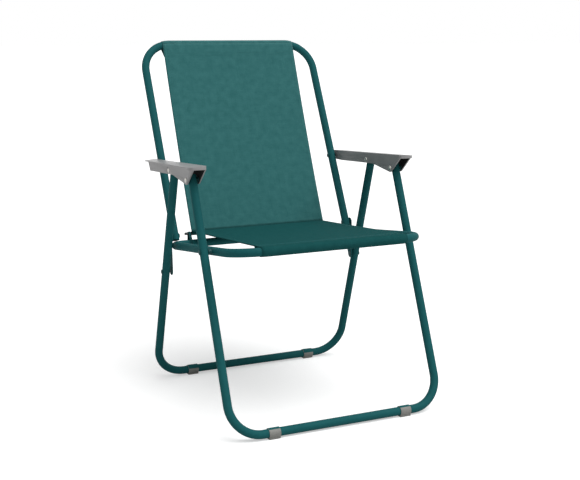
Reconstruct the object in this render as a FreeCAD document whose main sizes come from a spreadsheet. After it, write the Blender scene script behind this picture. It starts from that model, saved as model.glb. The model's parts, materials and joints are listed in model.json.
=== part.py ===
"""Folding camp chair: bent tube frames, plastic armrests, side plates and a sling.

Frame: +Z up, the sitter faces -Y, X across the chair, origin on the floor under the
middle of the open chair's box. Lengths are millimetres and angles degrees.
"""
import FreeCAD, Part
import math
import os
import Sketcher

Vec = FreeCAD.Vector
X_AXIS = Vec(1, 0, 0)
Y_AXIS = Vec(0, 1, 0)

doc = FreeCAD.newDocument("camp_chair")
sheet = doc.addObject("Spreadsheet::Sheet", "Sizes")

DIMENSIONS = {
    # tubes and their bends
    "tube_dia": 18.0,
    "tube_wall": 1.2,
    "top_bend": 66.0,
    "ground_bend": 66.0,
    "seat_front_bend": 66.0,
    "seat_rear_bend": 35.0,
    # distance of each tube's centre line from the chair's middle plane
    "back_half": 216.6,
    "leg_half": 240.8,
    # ground tubes
    "ground_height": 11.7,
    "front_foot_y": -297.4,
    "rear_foot_y": 167.6,
    # back frame's top tube
    "top_y": 297.3,
    "top_height": 770.0,
    # seat frame: its rear cross tube, its depth and its rise to the front
    "seat_rear_y": 113.9,
    "seat_rear_height": 326.6,
    "seat_depth": 386.0,
    "seat_rise": 7.41,
    # pivots, behind the origin and above the floor
    "front_rivet_y": -96.1,
    "front_rivet_z": 502.0,
    "middle_rivet_y": 11.9,
    "middle_rivet_z": 510.0,
    "rear_rivet_y": 165.9,
    "rear_rivet_z": 505.0,
    "seat_rivet_y": -154.1,
    "seat_rivet_z": 361.4,
    "plate_top_y": 89.9,
    "plate_top_z": 352.0,
    "plate_low_y": 85.9,
    "plate_low_z": 274.0,
    "plate_seat_step": 9.0,
    # rivets
    "rivet_rad": 2.5,
    "rivet_play": 0.05,
    "rivet_head_rad": 5.0,
    "rivet_head_rise": 2.4,
    "rivet_crown_share": 0.55,
    "rivet_collar_rad": 6.0,
    "rivet_bite": 0.3,
    "pivot_collar": 2.8,
    "rail_collar": 3.0,
    "plate_spacer": 6.0,
    "plate_pin_reach": 22.0,
    # tube ends and their plugs
    "front_leg_margin": 10.0,
    "back_end_margin": 8.5,
    "rear_leg_margin": 7.5,
    "plug_stem": 5.0,
    "plug_cap": 1.5,
    "plug_slack": 0.02,
    # washers and bushes
    "washer_rad": 6.5,
    "washer_play": 0.3,
    "bush_low": 0.8,
    "bush_high": 0.4,
    # side plates
    "plate_thick": 1.6,
    "plate_face": 226.9,
    "plate_lobe": 9.5,
    # armrests
    "arm_pitch": 3.4,
    "arm_inner": 226.4,
    "arm_outer": 255.6,
    "arm_wall": 3.0,
    "arm_top": 12.0,
    "arm_plate": 3.5,
    "arm_front_plate": 8.0,
    "arm_front_outer": 262.0,
    "arm_front": 309.0,
    "arm_rear": 10.0,
    "arm_low": 11.0,
    "arm_skirt_high": 16.0,
    "arm_skirt_low": 30.0,
    "arm_lug": 9.0,
    "arm_shoulder": 29.0,
    "arm_shoulder_drop": 1.0,
    "arm_lobe": 9.0,
    "arm_overhang": 5.0,
    "arm_rim": 1.6,
    "arm_crown": 236.0,
    "arm_crown_drop": 2.5,
    "arm_dish": 0.8,
    "arm_dish_rad": 8.0,
    "arm_flare_start": 0.39,
    "arm_flare_end": 0.75,
    "arm_flare_step": 2.0,
    "arm_corner": 12.0,
    "arm_inner_corner": 8.0,
    "arm_nose_reach": 26.0,
    "arm_nose_inset": 0.5,
    # feet
    "foot_length": 25.0,
    "foot_wall": 1.7,
    "foot_spread": 152.0,
    "foot_pad_width": 15.0,
    "joiner_half": 30.0,
    # sling and crease
    "sling_half": 168.0,
    "seat_sling_half": 165.5,
    "sling_thick": 1.5,
    "sling_gap": 0.3,
    "sling_room": 0.2,
    "crease_y": 114.5,
    "crease_height": 355.2,
    "crease_clear": 6.0,
    "rod_rad": 3.0,
    "rod_half": 182.0,
    "rod_back": 6.0,
    "rod_drop": 6.4,
    "tie_width": 6.0,
    "tie_thick": 1.4,
    "tie_offset": 171.5,
    "tie_gap": 0.1,
}

for row, (alias, number) in enumerate(DIMENSIONS.items(), start=1):
    sheet.set(f"A{row}", alias)
    sheet.set(f"B{row}", str(number))
    sheet.setAlias(f"B{row}", alias)
doc.recompute()


class Size:
    """A number from the sheet together with the expression that gives it."""

    def __init__(self, value, text):
        self.value = float(value)
        self.text = text

    @staticmethod
    def of(other):
        return other if isinstance(other, Size) else Size(other, repr(float(other)))

    def _join(self, other, sign, value):
        return Size(value, f"({self.text} {sign} {Size.of(other).text})")

    def __add__(self, other):
        return self._join(other, "+", self.value + Size.of(other).value)

    def __sub__(self, other):
        return self._join(other, "-", self.value - Size.of(other).value)

    def __mul__(self, other):
        return self._join(other, "*", self.value * Size.of(other).value)

    def __truediv__(self, other):
        return self._join(other, "/", self.value / Size.of(other).value)

    def __neg__(self):
        return Size(-self.value, f"(0 - {self.text})")


def size(alias):
    """The sheet's cell with this alias."""
    return Size(sheet.get(alias), f"Sizes.{alias}")


def number(alias):
    """The plain value of the sheet's cell with this alias."""
    return float(sheet.get(alias))


def bind(obj, prop, amount):
    """Binds a property to a size."""
    obj.setExpression(prop, Size.of(amount).text)


# ---- sketches ------------------------------------------------------------------

def new_sketch(body, name, plane, offset=None):
    """A sketch on one of the body's origin planes, moved along its normal by offset."""
    drawing = body.newObject("Sketcher::SketchObject", name)
    feature = next(f for f in body.Origin.OriginFeatures if f.Role == plane)
    drawing.AttachmentSupport = [(feature, "")]
    drawing.MapMode = "FlatFace"
    if offset is not None:
        drawing.AttachmentOffset = FreeCAD.Placement(Vec(0, 0, offset.value), FreeCAD.Rotation())
        bind(drawing, "AttachmentOffset.Base.z", offset)
    return drawing


def pin_point(drawing, geo, pos, across, upward):
    """Holds a sketch point at (across, upward) from the sketch's origin."""
    for kind, amount in (("DistanceX", Size.of(across)), ("DistanceY", Size.of(upward))):
        if amount.value < 0:
            amount = -amount
            index = drawing.addConstraint(Sketcher.Constraint(kind, geo, pos, -1, 1, amount.value))
        else:
            index = drawing.addConstraint(Sketcher.Constraint(kind, -1, 1, geo, pos, amount.value))
        if amount.value > 0:
            bind(drawing, f"Constraints[{index}]", amount)


def add_circle(drawing, across, upward, radius):
    """A circle with its centre and radius bound to the sheet."""
    across, upward, radius = Size.of(across), Size.of(upward), Size.of(radius)
    centre = Vec(across.value, upward.value, 0)
    geo = drawing.addGeometry(Part.Circle(centre, Vec(0, 0, 1), radius.value), False)
    pin_point(drawing, geo, 3, across, upward)
    index = drawing.addConstraint(Sketcher.Constraint("Radius", geo, radius.value))
    bind(drawing, f"Constraints[{index}]", radius)


def add_polygon(drawing, corners):
    """A closed outline of straight lines through corners, each a pair of sizes."""
    places = [(Size.of(a), Size.of(b)) for a, b in corners]
    points = [Vec(a.value, b.value, 0) for a, b in places]
    count = len(points)
    first = None
    for i in range(count):
        line = Part.LineSegment(points[i], points[(i + 1) % count])
        geo = drawing.addGeometry(line, False)
        first = geo if first is None else first
        pin_point(drawing, geo, 1, *places[i])
    for i in range(count):
        following = first + (i + 1) % count
        drawing.addConstraint(Sketcher.Constraint("Coincident", first + i, 2, following, 1))


def add_path(drawing, steps):
    """An open path. A step is ("line", start, end) or ("arc", centre, radius, from, to)."""
    last = None
    for step in steps:
        if step[0] == "line":
            start, end = step[1], step[2]
            line = Part.LineSegment(
                Vec(start[0].value, start[1].value, 0), Vec(end[0].value, end[1].value, 0)
            )
            geo = drawing.addGeometry(line, False)
            pin_point(drawing, geo, 1, *start)
            pin_point(drawing, geo, 2, *end)
        else:
            centre, radius, begin, finish = step[1:]
            circle = Part.Circle(Vec(centre[0].value, centre[1].value, 0), Vec(0, 0, 1), radius.value)
            low, high = sorted((begin, finish))
            arc = Part.ArcOfCircle(circle, math.radians(low), math.radians(high))
            geo = drawing.addGeometry(arc, False)
            index = drawing.addConstraint(Sketcher.Constraint("Radius", geo, radius.value))
            bind(drawing, f"Constraints[{index}]", radius)
        entry = 1
        leave = 2
        if step[0] == "arc" and step[3] > step[4]:
            entry, leave = 2, 1
        if last is not None:
            drawing.addConstraint(Sketcher.Constraint("Coincident", last[0], last[1], geo, entry))
        last = (geo, leave)


def pad(body, drawing, length, midplane=True, reverse=False):
    """Pads a sketch, both ways from its plane unless told otherwise."""
    feature = body.newObject("PartDesign::Pad", f"{drawing.Name}_pad")
    feature.Profile = drawing
    feature.Midplane = midplane
    feature.Reversed = reverse
    feature.Length = Size.of(length).value
    bind(feature, "Length", length)
    return feature


def cut_through(body, drawing):
    """Cuts a sketch right through the body, both ways from its plane."""
    feature = body.newObject("PartDesign::Pocket", f"{drawing.Name}_cut")
    feature.Profile = drawing
    feature.Midplane = True
    feature.Type = 0
    feature.Length = 2000.0
    return feature


# ---- placements ------------------------------------------------------------------

def tilted(y, z, degrees):
    """A placement turned about the X direction."""
    return FreeCAD.Placement(Vec(0, y, z), FreeCAD.Rotation(X_AXIS, degrees))


FRONT_FOOT = (number("front_foot_y"), number("ground_height"))
REAR_FOOT = (number("rear_foot_y"), number("ground_height"))
TOP = (number("top_y"), number("top_height"))
FRONT_RIVET = (number("front_rivet_y"), number("front_rivet_z"))
MIDDLE_RIVET = (number("middle_rivet_y"), number("middle_rivet_z"))
REAR_RIVET = (number("rear_rivet_y"), number("rear_rivet_z"))
SEAT_RIVET = (number("seat_rivet_y"), number("seat_rivet_z"))
PLATE_TOP = (number("plate_top_y"), number("plate_top_z"))
PLATE_LOW = (number("plate_low_y"), number("plate_low_z"))


def local_place(point, origin, degrees):
    """A side-view point in the frame that starts at origin and is turned by degrees about X."""
    turn = math.radians(degrees)
    dy, dz = point[0] - origin[0], point[1] - origin[1]
    return (dy * math.cos(turn) + dz * math.sin(turn), dz * math.cos(turn) - dy * math.sin(turn))


def lean(low, high):
    """Degrees about X that turn +Z to the direction from low to high, seen from the side."""
    return -math.degrees(math.atan2(high[0] - low[0], high[1] - low[1]))


def gap_between(a, b):
    """Distance between two side-view points."""
    return math.hypot(a[0] - b[0], a[1] - b[1])


def along_seat(step):
    """Side-view point on the seat frame's centre line, step ahead of its rear tube."""
    rise = math.radians(number("seat_rise"))
    rear_y, rear_z = number("seat_rear_y"), number("seat_rear_height")
    return (rear_y - step * math.cos(rise), rear_z + step * math.sin(rise))


PLATE_SEAT = along_seat(number("plate_seat_step"))
SEAT_FRONT = along_seat(number("seat_depth"))
BACK_LEAN = lean(PLATE_TOP, TOP)
FRONT_LEAN = lean(FRONT_FOOT, FRONT_RIVET)
REAR_LEAN = lean(REAR_FOOT, MIDDLE_RIVET)


# ---- tube frames -----------------------------------------------------------------

def tube_section(body, across, upward, plane, offset=None):
    """The ring that a tube frame is swept from."""
    ring = new_sketch(body, f"{body.Name}_ring", plane, offset)
    radius = size("tube_dia") / 2
    add_circle(ring, across, upward, radius)
    add_circle(ring, across, upward, radius - size("tube_wall"))
    return ring


def clearance_section(body, across, upward, plane, offset=None):
    """The disc that the room round a tube is swept from: the tube and most of the sling's gap."""
    disc = new_sketch(body, f"{body.Name}_disc", plane, offset)
    add_circle(disc, across, upward, size("tube_dia") / 2 + size("sling_room"))
    return disc


def sweep(body, ring, path):
    """Sweeps the ring along the path."""
    pipe = body.newObject("PartDesign::AdditivePipe", f"{body.Name}_pipe")
    pipe.Profile = ring
    pipe.Spine = (path, [])
    return pipe


def u_frame(label, half, bend, length, sign, section=tube_section):
    """A U in its own XZ plane, its cross tube along X through the origin.

    The sides run sign times upward for length. The section is a tube's ring unless told otherwise.
    """
    body = doc.addObject("PartDesign::Body", label)
    body.Label = label
    path = new_sketch(body, f"{label}_path", "XZ_Plane")
    flat = half - bend
    far = length * sign
    turn = bend * sign
    zero = Size.of(0.0)
    left_arc = (180, 270) if sign > 0 else (180, 90)
    right_arc = (270, 360) if sign > 0 else (90, 0)
    add_path(path, [
        ("line", (-half, far), (-half, turn)),
        ("arc", (-flat, turn), bend, *left_arc),
        ("line", (-flat, zero), (flat, zero)),
        ("arc", (flat, turn), bend, *right_arc),
        ("line", (half, turn), (half, far)),
    ])
    sweep(body, section(body, -half, zero, "XY_Plane", far), path)
    return body


def side_holes(body, places):
    """Rivet holes across a frame, at places in its middle plane."""
    holes = new_sketch(body, f"{body.Name}_holes", "YZ_Plane")
    for across, upward in places:
        add_circle(holes, across, upward, size("rivet_rad") + size("rivet_play"))
    cut_through(body, holes)


def make_back_frame():
    """Inverted U that carries the sling's back."""
    length = gap_between(TOP, PLATE_TOP) + number("back_end_margin")
    body = u_frame("back_frame", size("back_half"), size("top_bend"), Size.of(length), -1)
    side_holes(body, [local_place(point, TOP, BACK_LEAN) for point in (REAR_RIVET, PLATE_TOP)])
    body.Placement = tilted(*TOP, BACK_LEAN)
    return body


def make_leg_frame(label, foot, top, pin, degrees, margin):
    """U of tube on the ground, pinned near its top in the armrests and again at pin."""
    length = gap_between(foot, top) + margin
    body = u_frame(label, size("leg_half"), size("ground_bend"), Size.of(length), 1)
    side_holes(body, [local_place(point, foot, degrees) for point in (top, pin)])
    body.Placement = tilted(*foot, degrees)
    return body


def make_seat_frame():
    """Closed loop of tube, its two ends meeting in the middle of the rear cross tube."""
    body = doc.addObject("PartDesign::Body", "seat_frame")
    body.Label = "seat_frame"
    path = new_sketch(body, "seat_path", "XY_Plane")
    half, depth = size("back_half"), size("seat_depth")
    rear, front = size("seat_rear_bend"), size("seat_front_bend")
    end_gap, zero = Size.of(0.1), Size.of(0.0)
    add_path(path, [
        ("line", (-end_gap, zero), (rear - half, zero)),
        ("arc", (rear - half, -rear), rear, 90, 180),
        ("line", (-half, -rear), (-half, front - depth)),
        ("arc", (front - half, front - depth), front, 180, 270),
        ("line", (front - half, -depth), (half - front, -depth)),
        ("arc", (half - front, front - depth), front, 270, 360),
        ("line", (half, front - depth), (half, -rear)),
        ("arc", (half - rear, -rear), rear, 0, 90),
        ("line", (half - rear, zero), (end_gap, zero)),
    ])
    ring = tube_section(body, zero, zero, "YZ_Plane", -end_gap)
    sweep(body, ring, path)
    turn = -number("seat_rise")
    side_holes(body, [local_place(point, along_seat(0.0), turn) for point in (SEAT_RIVET, PLATE_SEAT)])
    body.Placement = tilted(*along_seat(0.0), turn)
    return body


# ---- armrests ----------------------------------------------------------------------

def arm_local(point):
    """A side-view point in the armrest's own frame, which starts at the rear rivet."""
    return local_place(point, REAR_RIVET, -number("arm_pitch"))


def tangent_point(start, centre, radius, sign):
    """Where a line from start touches a circle, on the side that sign picks."""
    dy, dz = start[0] - centre[0], start[1] - centre[1]
    angle = math.atan2(dz, dy) + sign * math.acos(radius / math.hypot(dy, dz))
    return (centre[0] + radius * math.cos(angle), centre[1] + radius * math.sin(angle))


def outline_pad(body, name, side, corners, height, thickness):
    """Pads a flat outline upward from height; across distances are turned to the side's X."""
    drawing = new_sketch(body, name, "XY_Plane", height)
    add_polygon(drawing, [(Size.of(across) * side, along) for across, along in corners])
    return pad(body, drawing, thickness, midplane=False)


def make_armrest(label, side):
    """Moulded channel, open below and at both ends, under a flat top that widens in front.

    Its inner wall runs on behind the outer one as a rounded lug that the back frame is pinned to.
    """
    body = doc.addObject("PartDesign::Body", label)
    body.Label = label
    top, wall, low = size("arm_top"), size("arm_wall"), size("arm_low")
    inner, outer = size("arm_inner"), size("arm_outer")
    rear, front = size("arm_rear"), size("arm_front")
    middle_x = (inner + outer) / 2 * side
    front_pin, middle_pin = arm_local(FRONT_RIVET), arm_local(MIDDLE_RIVET)
    lobe = number("arm_lobe")
    web = (number("arm_overhang") - number("arm_front"), number("arm_top") - number("arm_front_plate"))
    shoulder = (middle_pin[0] - number("arm_shoulder"), -number("arm_low") - number("arm_shoulder_drop"))

    skirt = new_sketch(body, f"{label}_skirt", "YZ_Plane", middle_x)
    add_polygon(skirt, [
        (-size("arm_skirt_high"), top), (-size("arm_skirt_low"), -low), (middle_pin[0], -low), shoulder,
        tangent_point(shoulder, front_pin, lobe, -1), tangent_point(web, front_pin, lobe, 1),
        web, (web[0], top),
    ])
    pad(body, skirt, outer - inner)
    round_end = new_sketch(body, f"{label}_round", "YZ_Plane", middle_x)
    add_circle(round_end, *front_pin, lobe)
    pad(body, round_end, outer - inner)

    ceiling, below = top - size("arm_plate"), -front / 8
    channel = new_sketch(body, f"{label}_channel", "YZ_Plane", middle_x)
    add_polygon(channel, [(rear, ceiling), (rear, below), (-front, below), (-front, ceiling)])
    hollow = body.newObject("PartDesign::Pocket", f"{label}_hollow")
    hollow.Profile = channel
    hollow.Midplane = True
    hollow.Length = (outer - inner - wall * 2).value
    bind(hollow, "Length", outer - inner - wall * 2)

    lug_x = (inner + wall / 2) * side
    lug = new_sketch(body, f"{label}_lug", "YZ_Plane", lug_x)
    lug_rad, lug_end = size("arm_lug"), -size("arm_skirt_low") - wall
    add_polygon(lug, [
        (lug_rad, ceiling), (lug_rad, 0.0), (0.0, -lug_rad), (lug_end, -low), (lug_end, ceiling),
    ])
    pad(body, lug, wall)
    lug_round = new_sketch(body, f"{label}_lug_round", "YZ_Plane", lug_x)
    add_circle(lug_round, 0.0, 0.0, lug_rad)
    pad(body, lug_round, wall)

    rim, wide = outer + size("arm_rim"), size("arm_front_outer")
    flare_start, flare_end = -front * size("arm_flare_start"), -front * size("arm_flare_end")
    flare_middle = (flare_start + flare_end) / 2
    corner, small = size("arm_corner"), size("arm_inner_corner")
    nose_tip = [
        (wide, corner * 1.25 - front), (wide - corner * 0.12, corner * 0.68 - front),
        (wide - corner / 2, corner * 0.2 - front), (wide - corner, -front),
        (inner + small, -front), (inner + small * 0.3, small * 0.3 - front), (inner, small - front),
    ]
    outline_pad(body, f"{label}_plate", side, [
        (inner, rear), (rim - corner / 2, rear), (rim, rear - corner / 2), (rim, flare_start),
        (rim + size("arm_flare_step"), flare_middle), (wide, flare_end), *nose_tip,
    ], ceiling, size("arm_plate"))
    nose_rear = size("arm_nose_reach") - front
    outline_pad(body, f"{label}_nose", side, [(inner, nose_rear), (wide, nose_rear), *nose_tip],
                top - size("arm_front_plate"), size("arm_front_plate") - size("arm_nose_inset"))

    slope = new_sketch(body, f"{label}_slope", "XZ_Plane")
    crown, drop = size("arm_crown"), size("arm_crown_drop")
    add_polygon(slope, [
        (crown * side, top), ((wide + drop) * side, top - drop), ((wide + drop) * side, top + drop),
        (crown * side, top + drop),
    ])
    cut_through(body, slope)

    side_holes(body, [front_pin, middle_pin, (0.0, 0.0)])
    dish = new_sketch(body, f"{label}_dish", "YZ_Plane", outer * side)
    add_circle(dish, *middle_pin, size("arm_dish_rad"))
    dished = body.newObject("PartDesign::Pocket", f"{label}_dished")
    dished.Profile = dish
    dished.Midplane = True
    dished.Length = (size("arm_dish") * 2).value
    bind(dished, "Length", size("arm_dish") * 2)
    body.Placement = tilted(*REAR_RIVET, -number("arm_pitch"))
    return body


# ---- rivets, spacers and plugs ---------------------------------------------------------

def across_cylinder(name, point, start, end, radius):
    """A Part::Cylinder along X from start to end, at a side-view point."""
    low, high = sorted((start, end))
    rod = doc.addObject("Part::Cylinder", name)
    rod.Radius = Size.of(radius).value
    bind(rod, "Radius", radius)
    rod.Height = high - low
    rod.Placement = FreeCAD.Placement(Vec(low, *point), FreeCAD.Rotation(Y_AXIS, 90))
    return rod


def across_cone(name, point, base, tip, wide, narrow):
    """A Part::Cone along X, wide at base and narrow at tip."""
    head = doc.addObject("Part::Cone", name)
    head.Radius1 = Size.of(wide).value
    bind(head, "Radius1", wide)
    head.Radius2 = Size.of(narrow).value
    bind(head, "Radius2", narrow)
    head.Height = abs(tip - base)
    degrees = 90 if tip > base else -90
    head.Placement = FreeCAD.Placement(Vec(base, *point), FreeCAD.Rotation(Y_AXIS, degrees))
    return head


def fuse(label, pieces):
    """One solid from pieces that overlap or touch."""
    joined = doc.addObject("Part::MultiFuse", label)
    joined.Label = label
    joined.Shapes = pieces
    return joined


def group(label, pieces):
    """One node that holds several separate solids."""
    bundle = doc.addObject("Part::Compound", label)
    bundle.Label = label
    bundle.Links = pieces
    return bundle


def rivet(name, point, side, inner, outer, inner_head=True, outer_head=True, spacers=()):
    """A rivet along X between two faces, with domed heads outside them.

    spacers are (start, end) stretches where the shank is stepped up to a collar.
    """
    shank_rad, head_rad = size("rivet_rad"), size("rivet_head_rad")
    rise = number("rivet_head_rise")
    crown = head_rad * size("rivet_crown_share")
    pieces = [across_cylinder(f"{name}_shank", point, side * inner, side * outer, shank_rad)]
    if outer_head:
        head = (side * outer, side * (outer + rise))
        pieces.append(across_cone(f"{name}_head", point, *head, head_rad, crown))
    if inner_head:
        tail = (side * inner, side * (inner - rise))
        pieces.append(across_cone(f"{name}_tail", point, *tail, head_rad, crown))
    for index, (start, end) in enumerate(spacers):
        pieces.append(across_cylinder(f"{name}_collar{index}", point, side * start, side * end,
                                      size("rivet_collar_rad")))
    return fuse(name, pieces)


def rivet_pair(label, point, **faces):
    """The same rivet on both sides of the chair, as one node."""
    return group(label, [rivet(f"{label}_{word}", point, side, **faces) for word, side in SIDES])


SIDES = (("right", -1), ("left", 1))


def washer_group(label):
    """Spacing washers between each leg tube and the armrest's two walls."""
    tube = number("tube_dia") / 2
    leg = number("leg_half")
    inner_wall = number("arm_inner") + number("arm_wall")
    outer_wall = number("arm_outer") - number("arm_wall")
    play = number("washer_play")
    stretches = ((inner_wall, leg - tube - play), (leg + tube + play, outer_wall))
    rings = []
    for word, side in SIDES:
        for place, point in (("front", FRONT_RIVET), ("middle", MIDDLE_RIVET)):
            for index, (start, end) in enumerate(stretches):
                name = f"{label}_{word}_{place}{index}"
                disc = across_cylinder(f"{name}_disc", point, side * start, side * end, size("washer_rad"))
                bore = across_cylinder(f"{name}_bore", point, side * start, side * end,
                                       size("rivet_rad") + size("rivet_play"))
                ring = doc.addObject("Part::Cut", name)
                ring.Base = disc
                ring.Tool = bore
                rings.append(ring)
    return group(label, rings)


def plug_pair(label, pivot, degrees, half, direction, reach):
    """Plastic plugs in a frame's two open tube ends, which are reach past the frame's pivot.

    direction is 1 where the tube ends upward and -1 where it ends downward.
    """
    stem_length, cap_height = number("plug_stem"), number("plug_cap")
    rim = size("tube_dia") / 2
    frame_turn = FreeCAD.Rotation(X_AXIS, degrees)
    end = frame_turn.multVec(Vec(0, 0, direction * reach))
    flip = FreeCAD.Rotation(X_AXIS, 0 if direction > 0 else 180)
    plugs = []
    for word, side in SIDES:
        stem = doc.addObject("Part::Cylinder", f"{label}_{word}_stem")
        bind(stem, "Radius", rim - size("tube_wall") - size("plug_slack"))
        bind(stem, "Height", size("plug_stem"))
        stem.Placement = FreeCAD.Placement(Vec(0, 0, -stem_length), FreeCAD.Rotation())
        cap = doc.addObject("Part::Cone", f"{label}_{word}_cap")
        bind(cap, "Radius1", rim)
        bind(cap, "Radius2", rim - size("plug_cap"))
        cap.Height = cap_height
        bind(cap, "Height", size("plug_cap"))
        plug = doc.addObject("Part::MultiFuse", f"{label}_{word}")
        plug.Shapes = [stem, cap]
        plug.Placement = FreeCAD.Placement(
            Vec(side * half, pivot[0] + end.y, pivot[1] + end.z), frame_turn.multiply(flip)
        )
        plugs.append(plug)
    return group(label, plugs)


# ---- side plates -------------------------------------------------------------------------

def make_side_plate(label, side):
    """Steel plate with three pivots: back frame above, seat frame behind, rear leg below."""
    body = doc.addObject("PartDesign::Body", label)
    body.Label = label
    middle = (size("plate_face") + size("plate_thick") / 2) * side
    lobe = number("plate_lobe")
    pivots = [
        (p[0] - PLATE_TOP[0], p[1] - PLATE_TOP[1]) for p in (PLATE_TOP, PLATE_LOW, PLATE_SEAT)
    ]
    for index, (a, b) in enumerate(((0, 1), (0, 2), (2, 1))):
        bar = new_sketch(body, f"{label}_bar{index}", "YZ_Plane", middle)
        start, end = pivots[a], pivots[b]
        span = math.hypot(end[0] - start[0], end[1] - start[1])
        nx, nz = -(end[1] - start[1]) / span * lobe, (end[0] - start[0]) / span * lobe
        add_polygon(bar, [
            (start[0] + nx, start[1] + nz), (start[0] - nx, start[1] - nz),
            (end[0] - nx, end[1] - nz), (end[0] + nx, end[1] + nz),
        ])
        pad(body, bar, size("plate_thick"))
    for index, (across, upward) in enumerate(pivots):
        disc = new_sketch(body, f"{label}_lobe{index}", "YZ_Plane", middle)
        add_circle(disc, across, upward, size("plate_lobe"))
        pad(body, disc, size("plate_thick"))
    side_holes(body, pivots)
    body.Placement = tilted(*PLATE_TOP, 0)
    return body


# ---- feet -----------------------------------------------------------------------------------

def make_foot(label, foot, side):
    """Plastic clip round a ground tube, with a flat pad that stands on the floor."""
    tube = number("tube_dia") / 2
    length = size("foot_length")
    pad_width, height = size("foot_pad_width"), size("ground_height")
    sleeve = doc.addObject("Part::Cylinder", f"{label}_sleeve")
    sleeve.Radius = tube + number("foot_wall")
    bind(sleeve, "Radius", size("tube_dia") / 2 + size("foot_wall"))
    sleeve.Height = length.value
    bind(sleeve, "Height", length)
    sleeve.Placement = FreeCAD.Placement(Vec(-length.value / 2, 0, 0), FreeCAD.Rotation(Y_AXIS, 90))
    block = doc.addObject("Part::Box", f"{label}_pad")
    block.Length = length.value
    bind(block, "Length", length)
    block.Width = pad_width.value
    bind(block, "Width", pad_width)
    block.Height = height.value
    bind(block, "Height", height)
    block.Placement = FreeCAD.Placement(
        Vec(-length.value / 2, -pad_width.value / 2, -height.value), FreeCAD.Rotation()
    )
    whole = fuse(f"{label}_whole", [sleeve, block])
    bore = doc.addObject("Part::Cylinder", f"{label}_bore")
    bore.Radius = tube + 0.05
    bind(bore, "Radius", size("tube_dia") / 2 + size("rivet_play"))
    bore.Height = length.value + 2.0
    bore.Placement = FreeCAD.Placement(Vec(-length.value / 2 - 1.0, 0, 0), FreeCAD.Rotation(Y_AXIS, 90))
    clip = doc.addObject("Part::Cut", label)
    clip.Label = label
    clip.Base = whole
    clip.Tool = bore
    clip.Placement = FreeCAD.Placement(Vec(side * number("foot_spread"), *foot), FreeCAD.Rotation())
    return clip


# ---- sling ------------------------------------------------------------------------------------

CREASE = (number("crease_y"), number("crease_height"))


def make_sling_panel(label, bar, half, front, bend, frame_lean):
    """A flat panel with a pocket round a bar, running from the bar to near the crease.

    In its own frame the panel hangs down -Z; front is the side of the bar it leaves from. The
    pocket's ends are opened where the bar's bends, of radius bend, curve away from it.
    """
    body = doc.addObject("PartDesign::Body", f"{label}_cloth")
    inner = size("tube_dia") / 2 + size("sling_gap")
    outer = inner + size("sling_thick")
    span = math.sqrt(gap_between(bar, CREASE) ** 2 - outer.value ** 2) - number("crease_clear")
    pocket = new_sketch(body, f"{label}_pocket", "YZ_Plane")
    add_circle(pocket, 0.0, 0.0, outer)
    add_circle(pocket, 0.0, 0.0, inner)
    pad(body, pocket, half * 2)
    panel = new_sketch(body, f"{label}_panel", "YZ_Plane")
    add_polygon(panel, [
        (outer * front, 0.0), (inner * front, 0.0), (inner * front, -span), (outer * front, -span),
    ])
    pad(body, panel, half * 2)
    body.Placement = tilted(*bar, panel_turn(bar, front))
    room = u_frame(f"{label}_room", size("back_half"), bend, bend * 2, -1, clearance_section)
    room.Placement = tilted(*bar, frame_lean)
    sling = doc.addObject("Part::Cut", label)
    sling.Label = label
    sling.Base = body
    sling.Tool = room
    return sling


def panel_turn(bar, front):
    """Degrees about X that hang a panel from bar so that its face meets the crease."""
    outer = number("tube_dia") / 2 + number("sling_gap") + number("sling_thick")
    direction = math.degrees(math.atan2(CREASE[1] - bar[1], CREASE[0] - bar[0]))
    offset = math.degrees(math.asin(outer / gap_between(bar, CREASE)))
    return direction + 90.0 - front * offset


def make_crease_rod():
    """Rod in the sling's crease hem, with its ends showing at both sides."""
    place = (CREASE[0] + number("rod_back"), CREASE[1] - number("rod_drop"))
    half = number("rod_half")
    rod = across_cylinder("crease_rod", place, -half, half, size("rod_rad"))
    rod.Label = "crease_rod"
    return rod, place


def belt_face(first, first_rad, second, second_rad):
    """Face bounded by a belt round two circles, in the side view at X = 0."""
    a, b = Vec(0, *first), Vec(0, *second)
    line = b - a
    base = math.atan2(line.z, line.y)
    opening = math.acos((first_rad - second_rad) / line.Length)

    def rim(centre, radius, angle):
        return centre + Vec(0, radius * math.cos(angle), radius * math.sin(angle))

    high, low = base + opening, base - opening
    far = base + math.pi
    edges = [
        Part.LineSegment(rim(a, first_rad, high), rim(b, second_rad, high)).toShape(),
        Part.Arc(rim(b, second_rad, high), rim(b, second_rad, base), rim(b, second_rad, low)).toShape(),
        Part.LineSegment(rim(b, second_rad, low), rim(a, first_rad, low)).toShape(),
        Part.Arc(rim(a, first_rad, low), rim(a, first_rad, far), rim(a, first_rad, high)).toShape(),
    ]
    return Part.Face(Part.Wire(edges))


def make_ties(label, rod_place):
    """Webbing loops that tie the crease rod down to the seat frame's rear tube."""
    gap, thick = number("tie_gap"), number("tie_thick")
    width = number("tie_width")
    tube = along_seat(0.0)
    loops = []
    for _, side in SIDES:
        start = side * number("tie_offset") - width / 2
        shells = []
        for grow in (gap + thick, gap):
            face = belt_face(rod_place, number("rod_rad") + grow, tube, number("tube_dia") / 2 + grow)
            shells.append(face.extrude(Vec(width, 0, 0)))
        loops.append((shells[0].cut(shells[1]), start))
    ties = doc.addObject("Part::Feature", label)
    ties.Label = label
    ties.Shape = Part.makeCompound([shape.translated(Vec(start, 0, 0)) for shape, start in loops])
    ties.Placement = FreeCAD.Placement()
    return ties


def make_joiner():
    """Dowel inside the seat frame's rear tube, where the tube's two ends meet."""
    bore = size("tube_dia") / 2 - size("tube_wall") - size("plug_slack")
    half = number("joiner_half")
    dowel = across_cylinder("seat_tube_joiner", along_seat(0.0), -half, half, bore)
    dowel.Label = "seat_tube_joiner"
    return dowel


# ---- the chair -----------------------------------------------------------------------------------

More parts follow.
